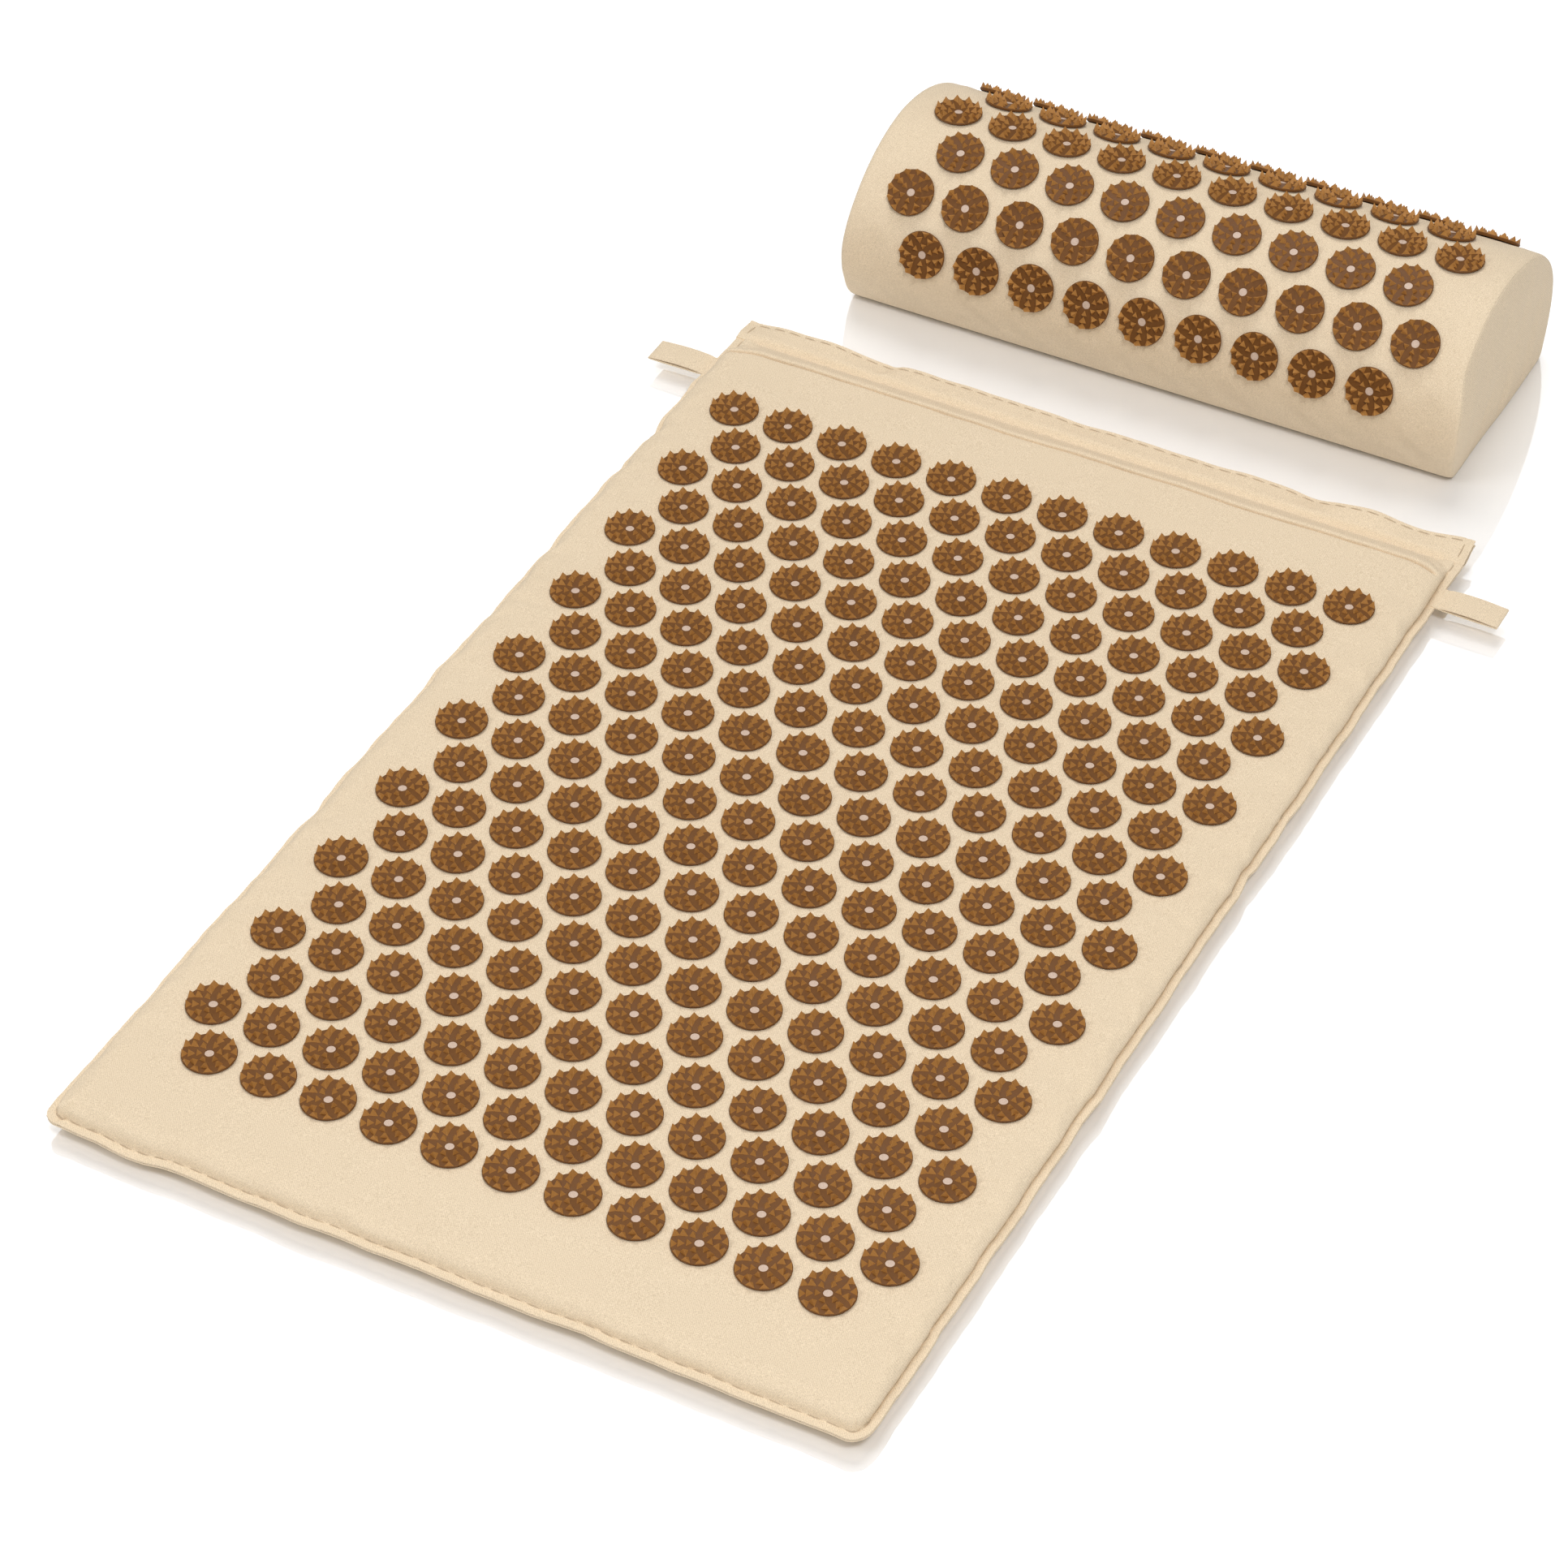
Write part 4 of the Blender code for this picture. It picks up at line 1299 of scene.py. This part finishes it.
def arch_point(distance):
    a, gone = math.pi / 2, 0.0
    step = 1e-3 if distance > 0 else -1e-3
    here = Vector(arch(a)[:2])
    while gone < abs(distance):
        a += step
        there = Vector(arch(a)[:2])
        gone += (there - here).length
        here = there
    return arch(a)


ROWS = []  # centre (y, z) of each row of discs and its outward normal
for j in range(7):
    ROWS.append(arch_point(P_MIDDLE_ROW + (j - 3) * P_ROW_ARC))


def outline():
    """Dense closed outline of the pillow's section, with soft lower edges.

    It runs from the seam under the front edge over the crown to the floor at the
    back, and home along the base.
    """
    front = [(-side_y(z, P_FRONT_W), z) for z in np.linspace(0, P_WIDE_Z, 60)]
    curve = [arch(math.pi * k / 400)[:2] for k in range(1, 400)]
    back = [(side_y(z, P_BACK_W), z) for z in np.linspace(P_WIDE_Z, 0, 60)]
    base = [(y, 0.0) for y in np.linspace(P_BASE_W, -P_BASE_W, 200)[1:-1]]
    line = np.array(front + curve + back + base)

    def soften(line, corner, radius):
        step = np.linalg.norm(np.roll(line, -1, 0) - line, axis=1)
        gone = np.concatenate([[0], np.cumsum(step)[:-1]])
        total = step.sum()
        k = int(np.argmin(np.hypot(*(line - corner).T)))
        off = (gone - gone[k] + total / 2) % total - total / 2
        inside = np.abs(off) < radius
        a = line[int(np.argmin(np.abs(off + radius)))]
        b = line[int(np.argmin(np.abs(off - radius)))]
        t = ((off[inside] + radius) / (2 * radius))[:, None]
        line = line.copy()
        line[inside] = (1 - t) ** 2 * a + 2 * t * (1 - t) * np.array(corner) + t**2 * b
        return line

    line = soften(line, (-P_BASE_W, 0.0), 10.0)
    return soften(line, (P_BASE_W, 0.0), 3.0)


SECTION = outline()
loop_step = np.linalg.norm(np.roll(SECTION, -1, 0) - SECTION, axis=1)
loop_gone = np.concatenate([[0], np.cumsum(loop_step)])


def along_loop(s):
    closed = np.vstack([SECTION, SECTION[:1]])
    s = np.asarray(s) % loop_gone[-1]
    return np.stack([np.interp(s, loop_gone, closed[:, k]) for k in range(2)], -1)


def loop_at(y, z):
    k = int(np.argmin(np.hypot(SECTION[:, 0] - y, SECTION[:, 1] - z)))
    return loop_gone[k]


total = loop_gone[-1]
S_FRONT = loop_at(-55.0, 0.0) - total  # under the front edge
S_ZIP_TOP = loop_at(side_y(27.6, P_BACK_W), 27.6)
S_ZIP_LOW = loop_at(side_y(1.6, P_BACK_W), 1.6)
SLEEVE_N, BAND_N, BASE_N = 60, 5, 24
S_ALL = np.concatenate(
    [
        np.linspace(S_FRONT, S_ZIP_TOP, SLEEVE_N + 1),
        np.linspace(S_ZIP_TOP, S_ZIP_LOW, BAND_N + 1)[1:],
        np.linspace(S_ZIP_LOW, S_FRONT + total, BASE_N + 1)[1:-1],
    ]
)
LOOP_N = len(S_ALL)
LOOP_YZ = along_loop(S_ALL)
tangent = along_loop(S_ALL + 1.0) - along_loop(S_ALL - 1.0)
LOOP_OUT = np.stack([-tangent[:, 1], tangent[:, 0]], 1)
LOOP_OUT /= np.linalg.norm(LOOP_OUT, axis=1, keepdims=True)


def end_reach(y, z, right):
    """How far the end seam stands out beyond its nominal place."""
    front = 1 - smooth_step((y + 34) / 56)
    right_front = np.interp(z, (0, 9, 22, 38, 50, 58, 68, 90), (-1.4, 0.6, 2.8, 4.3, 4.3, 3.0, 0.2, -0.5))
    left_front = np.interp(z, (0, 10, 40, 52, 68, 90), (3.2, 3.4, 2.6, 1.8, 0.7, 0.0))
    shoulder = np.where(right, -0.8, 1.2) * np.exp(-(((z - 50) / 30) ** 2))
    return np.where(right, right_front, left_front) * front + shoulder * (1 - front)


END_SHARES = (1.0, 0.982, 0.945, 0.87, 0.79, 0.70, 0.60, 0.49, 0.37, 0.24, 0.11)
PILLOW_X = np.concatenate(
    [
        np.array([-176.0, -175.2, -173.8, -171.6, -168.4]),
        np.linspace(-164.5, 164.5, 67),
        np.array([168.4, 171.6, 173.8, 175.2, 176.0]),
    ]
)


def pillow_tube():
    """The tube's points (x, loop): crowned cotton, drawn in at its end seams."""
    x = PILLOW_X[:, None] + 0 * LOOP_YZ[None, :, 0]
    y = LOOP_YZ[None, :, 0] + 0 * x
    z = LOOP_YZ[None, :, 1] + 0 * x
    edge = P_HALF - np.abs(x)
    drawn = 1.25 * np.exp(-((edge / 1.1) ** 1.3))
    on_floor = smooth_step(z / 4)
    y = y - LOOP_OUT[None, :, 0] * drawn * on_floor
    z = z - LOOP_OUT[None, :, 1] * drawn * on_floor
    reach = end_reach(y, z, x > 0) * smooth_step((np.abs(x) - 120) / 56)
    x = x + np.sign(x) * reach
    # slack cotton low on the front: long shallow folds that slant to the corners
    low = np.exp(-(((LOOP_YZ[None, :, 1] - 24) / 14) ** 2)) * (LOOP_YZ[None, :, 0] < 0)
    slack = ripple(x + 1.1 * z, ((0.17, 38, 0.7), (0.10, 21, 2.0)))
    slack = slack * (0.35 + 0.65 * smooth_step((np.abs(x) - 70) / 80)) * low
    slack = slack * smooth_step((LOOP_YZ[None, :, 1] - 5) / 12)
    y = y + LOOP_OUT[None, :, 0] * slack
    z = z + LOOP_OUT[None, :, 1] * slack * on_floor
    return np.stack([x, y, np.maximum(z, 0)], 2)


def disc_plane(p):
    """Distance to the nearest pillow disc in its own plane, and the plane's height."""
    near = np.full(len(p), 1e9)
    gap = np.zeros(len(p))
    out = np.zeros((len(p), 3))
    for j, (cy, cz, n) in enumerate(ROWS):
        count = 9 + j % 2
        half = (count - 1) / 2
        i = np.clip(np.round(p[:, 0] / P_PITCH + half) - half, -half, half)
        dy, dz = p[:, 1] - cy, p[:, 2] - cz
        u = dy * n.y - dz * n.x
        w = dy * n.x + dz * n.y
        r = np.hypot(p[:, 0] - i * P_PITCH, u)
        better = (r < near) & (np.abs(w) < 12)
        near = np.where(better, r, near)
        gap = np.where(better, w, gap)
        out[better] = (0, n.x, n.y)
    return near, gap, out


def pillow_points():
    """All points of the closed pillow: the tube, then each end's rings and centre."""
    tube = pillow_tube()
    columns = len(PILLOW_X)
    flat = tube.reshape(-1, 3)
    near, gap, out = disc_plane(flat)
    pressed = (1 - smooth_step((near - 11.5) / 5.0)) * (near < 1e8)
    flat = flat + out * ((-0.12 - gap) * pressed)[:, None]
    points = [flat]
    centre = np.array((0.0, 42.0))
    for side in (-1, 1):
        ring = flat.reshape(columns, LOOP_N, 3)[0 if side < 0 else -1]
        for share in END_SHARES[1:]:
            yz = centre + (ring[:, 1:] - centre) * share
            dome = 2.6 * (1 - share**4.5) ** 0.7
            keep = share**1.5
            x = side * (P_HALF + (np.abs(ring[:, 0]) - P_HALF) * keep + dome)
            wrinkle = ripple(yz[:, 0] - 0.45 * yz[:, 1], ((0.55, 27, 0.5), (0.35, 15, 1.8)))
            wrinkle = wrinkle * (0.35 + 0.65 * (1 - smooth_step((yz[:, 1] - 12) / 55)))
            x = x + side * wrinkle * math.sin(math.pi * min(1, share * 1.02)) ** 0.7
            points.append(np.stack([x, yz[:, 0], yz[:, 1]], 1))
        points.append(np.array([[side * P_HALF + side * 2.6, *centre]]))
    return points, columns


pillow_list, P_COLS = pillow_points()
P_CO = np.concatenate(pillow_list)
TUBE_N = P_COLS * LOOP_N
END_RINGS = len(END_SHARES) - 1


def end_start(side):
    return TUBE_N + (0 if side < 0 else END_RINGS * LOOP_N + 1)


def ring_ids(side, k):
    """Point numbers of the k-th ring of an end, ring 0 being the tube's last."""
    if k == 0:
        return np.arange(LOOP_N) + (0 if side < 0 else (P_COLS - 1) * LOOP_N)
    return end_start(side) + (k - 1) * LOOP_N + np.arange(LOOP_N)


def end_faces(side):
    quads = []
    for k in range(END_RINGS):
        a, b = ring_ids(side, k), ring_ids(side, k + 1)
        a2, b2 = np.roll(a, -1), np.roll(b, -1)
        quads.append(np.stack([a, a2, b2, b] if side < 0 else [a, b, b2, a2], 1))
    inner = ring_ids(side, END_RINGS)
    tip = np.full(LOOP_N, end_start(side) + END_RINGS * LOOP_N)
    after = np.roll(inner, -1)
    tris = np.stack([inner, after, tip] if side < 0 else [after, inner, tip], 1)
    return np.concatenate(quads), tris


tube_faces = grid_faces(P_COLS, LOOP_N, 0, True, wrap=True)
left_quads, left_tris = end_faces(-1)
right_quads, right_tris = end_faces(1)

near, _, _ = disc_plane(P_CO)
free = smooth_step((near - 13.5) / 9.0)
free = free * smooth_step((P_CO[:, 2] - 3.0) / 10.0)
s_index = np.tile(np.arange(LOOP_N), P_COLS)
band = np.zeros(len(P_CO))
band[:TUBE_N] = (s_index >= SLEEVE_N - 1) & (s_index <= SLEEVE_N + BAND_N + 1)
free = np.where(band > 0, 0.0, free)
seam = np.ones(len(P_CO))
for side in (-1, 1):
    seam[ring_ids(side, 0)] = 0.0
    for k in range(1, END_RINGS + 1):
        seam[ring_ids(side, k)] = 0.5 * min(1.0, k / 4)
seam[:TUBE_N] *= np.repeat(smooth_step((P_HALF - 1.0 - np.abs(PILLOW_X)) / 16), LOOP_N)
moved = swell(
    "pillow_swell",
    P_CO,
    [np.concatenate([tube_faces, left_quads, right_quads]), np.concatenate([left_tris, right_tris])],
    free * seam,
    3.0,
    1.1,
    shrink=-0.012,
    bending=0.6,
)
moved = moved * smooth_step(free * 2)[:, None]
P_CO = P_CO + moved
P_CO[:, 2] = np.maximum(P_CO[:, 2], 0.0)
P_CO = P_CO + np.array((0.0, P_Y, 0.0))


def pillow_piece(name, faces_q, faces_t, node, sharp=None, crease=None, thickness=CLOTH):
    """One cloth of the pillow, cut from the swollen shape, subdivided and given thickness."""
    used = np.unique(np.concatenate([faces_q.ravel(), faces_t.ravel()]))
    lookup = np.full(len(P_CO), -1)
    lookup[used] = np.arange(len(used))
    parts = [lookup[faces_q]]
    if len(faces_t):
        parts.append(lookup[faces_t])
    obj = mesh_object(name, P_CO[used], parts, [COTTON, COTTON_INSIDE])
    finer = obj.modifiers.new("finer", "SUBSURF")
    finer.levels = finer.render_levels = 1
    thick = obj.modifiers.new("cloth", "SOLIDIFY")
    thick.thickness = thickness * MM
    thick.offset = -1
    thick.material_offset = 1
    thick.use_even_offset = False
    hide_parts(node)
    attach(obj, "pillow")
    return obj


cell_s = np.tile(np.arange(LOOP_N), P_COLS - 1)
none = np.zeros((0, 3), int)
sleeve = pillow_piece("pillow_sleeve_cloth", tube_faces[cell_s < SLEEVE_N], none, "pillow_sleeve")
base_panel = pillow_piece(
    "pillow_base_cloth", tube_faces[cell_s >= SLEEVE_N + BAND_N], none, "pillow_base_panel"
)
left_end = pillow_piece(
    "pillow_left_end_cloth", left_quads, left_tris, "pillow_left_end_panel"
)
right_end = pillow_piece(
    "pillow_right_end_cloth", right_quads, right_tris, "pillow_right_end_panel"
)

for j, (cy, cz, n) in enumerate(ROWS):
    disc_row(
        f"pillow_spike_discs_row_{j + 1}",
        "pillow",
        9 + j % 2,
        P_PITCH,
        P_Y + cy + n.x * GAP,
        cz + n.y * GAP,
        math.atan2(-n.x, n.y),
        f"pillow_disc_row_{j + 1}",
        "pillow",
    )

# foam block inside the sleeve
foam_loop = along_loop(np.linspace(0, total, 121)[:-1])
foam_mid = np.array((0.0, 40.0))
tangent = np.roll(foam_loop, -1, 0) - np.roll(foam_loop, 1, 0)
inward = np.stack([tangent[:, 1], -tangent[:, 0]], 1)
inward /= np.linalg.norm(inward, axis=1, keepdims=True)
foam_loop = foam_loop + inward * 2.0
foam_loop[:, 1] = np.maximum(foam_loop[:, 1], 1.6)
foam_loop[:, 0] = np.where(
    (foam_loop[:, 0] > 0) & (foam_loop[:, 1] < 30),
    np.minimum(foam_loop[:, 0], 58.0 + 0.33 * foam_loop[:, 1]),
    foam_loop[:, 0],
)
foam_xs = np.array([-175.2, -174.4, -172.6, *np.linspace(-168, 168, 29), 172.6, 174.4, 175.2])
inset = np.array([2.6, 1.0, 0.2, *[0.0] * 29, 0.2, 1.0, 2.6])
fc = np.stack(
    [
        np.repeat(foam_xs[:, None], len(foam_loop), 1),
        P_Y + foam_loop[None, :, 0] * (1 - inset[:, None] / 70),
        foam_mid[1] + (foam_loop[None, :, 1] - foam_mid[1]) * (1 - inset[:, None] / 45),
    ],
    2,
).reshape(-1, 3)
m = len(foam_loop)
caps = []
for side, start in ((-1, 0), (1, (len(foam_xs) - 1) * m)):
    tip = len(fc)
    fc = np.vstack([fc, [[side * 175.2, P_Y, 40.0]]])
    ids = start + np.arange(m)
    after = np.roll(ids, -1)
    caps.append(np.stack([ids, after, np.full(m, tip)] if side < 0 else [after, ids, np.full(m, tip)], 1))
pillow_foam = mesh_object(
    "pillow_foam_block",
    fc,
    [grid_faces(len(foam_xs), m, 0, True, wrap=True), np.concatenate(caps)],
    [FOAM],
    sharp=50,
)
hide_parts("pillow_foam")
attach(pillow_foam, "pillow")

# ------------------------------------------------------------------ pillow sewing


def surface_of(obj):
    """A tree of the object's evaluated mesh, in metres."""
    return BVHTree.FromObject(obj, bpy.context.evaluated_depsgraph_get())


def laid_on(tree, points):
    """The nearest points on a surface, in millimetres, with its normals."""
    out_p, out_n = [], []
    for p in points:
        place, normal, _, _ = tree.find_nearest(Vector(p * MM))
        out_p.append(np.array(place) / MM)
        out_n.append(np.array(normal))
    return np.array(out_p), np.array(out_n)


sleeve_tree = surface_of(sleeve)
hem = []
xs = np.linspace(-172, 172, 240)
for offset, tree in ((-3.0, sleeve_tree),):
    yz = along_loop(np.full(len(xs), S_ZIP_TOP + offset))
    pts = np.stack([xs, P_Y + yz[:, 0], yz[:, 1]], 1)
    p, n = laid_on(tree, pts)
    centre = np.array((0, P_Y, 40.0))
    flip = np.sign(((p - centre) * n)[:, 1:].sum(1))
    hem.append((p, n * flip[:, None]))
hem_thread = stitches("pillow_hem_stitching", hem, 3.1, 0.6, 0.26, 5, 5)
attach(hem_thread, "pillow")

# ------------------------------------------------------------------ zip

BAND_0 = np.array((side_y(2.0, P_BACK_W), 2.0))
BAND_1 = np.array((side_y(27.0, P_BACK_W), 27.0))
BAND_L = float(np.linalg.norm(BAND_1 - BAND_0))
BAND_U = (BAND_1 - BAND_0) / BAND_L
BAND_N_OUT = np.array((BAND_U[1], -BAND_U[0]))
M = BAND_L / 2


def on_band(x, u, w):
    """World point from along-zip x, climb u and outward w."""
    x, u, w = np.broadcast_arrays(*[np.asarray(v, float) for v in (x, u, w)])
    y = P_Y + BAND_0[0] + BAND_U[0] * u + BAND_N_OUT[0] * w
    z = BAND_0[1] + BAND_U[1] * u + BAND_N_OUT[1] * w
    return np.stack([x, y, z], -1)


def zip_tape(name, node, u0, u1, beaded):
    """Woven tape with a thicker cord along the edge that carries the coil."""
    xs = np.linspace(-175.3, 175.3, 150)
    us = np.linspace(u0, u1, 15)
    x, u = np.meshgrid(xs, us)
    bead = 0.35 * np.exp(-(((u - beaded) / 0.9) ** 2))
    w = 0.0 + bead + 0.05 * np.sin(x / 3.7) * np.sin(u * 1.1)
    field = on_band(x, u, w)
    obj = shell(name, field, 0.6, [ZIP_TAPE], flip=True, sharp=60)
    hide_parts(node)
    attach(obj, "pillow")
    return obj


lower_tape = zip_tape("zip_lower_tape_weave", "pillow_zip_lower_tape", -0.2, M - 1.3, M - 3.2)
upper_tape = zip_tape("zip_upper_tape_weave", "pillow_zip_upper_tape", M + 1.3, BAND_L + 0.6, M + 3.2)


def zip_coil(name, node, side):
    """A nylon coil: a flattened helix whose loops reach up to the middle."""
    turns, per, sides = 250, 8, 5
    length = 350.0
    n = turns * per + 1
    t = np.arange(n) / per
    x = -length / 2 + length * np.arange(n) / (n - 1) + (0.35 if side > 0 else -0.35)
    a = 2 * math.pi * t
    c = np.cos(a)
    u = M + side * (1.63 + 0.98 * np.sign(c) * np.abs(c) ** 0.8)
    w = 0.92 + 0.42 * np.sin(a)
    p = on_band(x, u, w)
    d = np.gradient(p, axis=0)
    d /= np.linalg.norm(d, axis=1, keepdims=True)
    ref = np.array((1.0, 0.0, 0.0))
    b = np.cross(d, ref)
    b /= np.maximum(np.linalg.norm(b, axis=1, keepdims=True), 1e-9)
    e = np.cross(b, d)
    turn = np.arange(sides) * 2 * math.pi / sides
    ring = 0.29 * (
        np.cos(turn)[None, :, None] * b[:, None, :] + np.sin(turn)[None, :, None] * e[:, None, :]
    )
    co = (p[:, None, :] + ring).reshape(-1, 3)
    faces = grid_faces(n, sides, 0, False, wrap=True)
    first, last = len(co), len(co) + 1
    co = np.vstack([co, p[:1], p[-1:]])
    k = np.arange(sides)
    cap = np.concatenate(
        [
            np.stack([(k + 1) % sides, k, np.full(sides, first)], 1),
            np.stack(
                [(n - 1) * sides + k, (n - 1) * sides + (k + 1) % sides, np.full(sides, last)], 1
            ),
        ]
    )
    obj = mesh_object(name, co, [faces, cap], [COIL])
    bm = bmesh.new()
    bm.from_mesh(obj.data)
    bmesh.ops.recalc_face_normals(bm, faces=bm.faces)
    bm.to_mesh(obj.data)
    bm.free()
    obj.data.shade_smooth()
    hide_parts(node)
    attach(obj, "pillow")
    return obj


zip_coil("zip_lower_coil_helix", "pillow_zip_lower_coil", -1)
zip_coil("zip_upper_coil_helix", "pillow_zip_upper_coil", 1)

# rows of sewing that hold the coils to their tapes
coil_lines = []
for u in (M - 2.9, M + 2.9):
    xs = np.linspace(-174, 174, 200)
    p = on_band(xs, u, 0.42)
    out = np.repeat(np.array([[0.0, BAND_N_OUT[0], BAND_N_OUT[1]]]), len(xs), 0)
    coil_lines.append((p, out))
coil_thread = stitches("zip_coil_stitching", coil_lines, 2.3, 0.5, 0.22, 5, 5)
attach(coil_thread, "pillow")

# the slider and its pull keep their CAD shape, with cast and pressed edges
for node, width in (("pillow_zip_slider", 0.35), ("pillow_zip_pull", 0.30)):
    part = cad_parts[node]
    part.data.materials.clear()
    part.data.materials.append(METAL)
    edge = part.modifiers.new("cast_edge", "BEVEL")
    edge.width = width * MM
    edge.segments = 3
    edge.limit_method = "ANGLE"
    edge.angle_limit = math.radians(40)
    for polygon in part.data.polygons:
        polygon.use_smooth = False

# ------------------------------------------------------------------ floor and light


def floor_material():
    """Polished white studio floor: matt white with a faint mirror."""
    n = Nodes("studio_floor")
    tree = n.tree
    for node in list(tree.nodes):
        tree.nodes.remove(node)
    out = tree.nodes.new("ShaderNodeOutputMaterial")
    matt = tree.nodes.new("ShaderNodeBsdfDiffuse")
    matt.inputs["Color"].default_value = (0.97, 0.97, 0.975, 1.0)
    mirror = tree.nodes.new("ShaderNodeBsdfGlossy")
    mirror.inputs["Color"].default_value = (1.0, 1.0, 1.0, 1.0)
    mirror.inputs["Roughness"].default_value = 0.05
    both = tree.nodes.new("ShaderNodeMixShader")
    both.inputs[0].default_value = 0.23
    tree.links.new(matt.outputs[0], both.inputs[1])
    tree.links.new(mirror.outputs[0], both.inputs[2])
    tree.links.new(both.outputs[0], out.inputs["Surface"])
    return n.material


bm = bmesh.new()
bmesh.ops.create_grid(bm, x_segments=4, y_segments=4, size=15.0)
floor_mesh = bpy.data.meshes.new("floor")
bm.to_mesh(floor_mesh)
bm.free()
floor = bpy.data.objects.new("floor", floor_mesh)
floor.location = (0, 0, -0.0004)
floor_mesh.materials.append(floor_material())
scene.collection.objects.link(floor)

world = bpy.data.worlds.new("studio")
scene.world = world
world.use_nodes = True
sky = world.node_tree.nodes["Background"]
sky.inputs["Color"].default_value = (1.0, 1.0, 1.0, 1.0)
sky.inputs["Strength"].default_value = 0.285


def area(name, at, target, size, power, colour=(1, 1, 1)):
    data = bpy.data.lights.new(name, "AREA")
    data.shape = "DISK"
    data.size = size
    data.energy = power
    data.color = colour
    obj = bpy.data.objects.new(name, data)
    scene.collection.objects.link(obj)
    obj.location = at
    way = Vector(target) - Vector(at)
    obj.rotation_mode = "QUATERNION"
    obj.rotation_quaternion = way.to_track_quat("-Z", "Y")
    return obj


area("overhead", (0.6, -0.5, 3.1), (0, 0.05, 0), 1.8, 10)
area("front_key", (1.38, -1.38, 2.8), (0, 0.05, 0), 0.7, 41)
area("top_back", (-0.5, 1.2, 3.1), (0, 0.05, 0), 1.6, 32)
area("front_left", (-1.3, -2.0, 2.6), (0, 0.05, 0), 1.2, 22)
# the white backdrop that the polished floor mirrors; it lights nothing but the floor
backdrop = area("backdrop_glow", (-1.55, 2.9, 2.95), (0, 0.05, 0), 4.2, 58)
floor_only = bpy.data.collections.new("floor_only")
floor_only.objects.link(floor)
backdrop.light_linking.receiver_collection = floor_only

scene.view_settings.view_transform = "Standard"
scene.view_settings.look = "None"
scene.view_settings.exposure = 0.0
scene.view_settings.gamma = 1.0
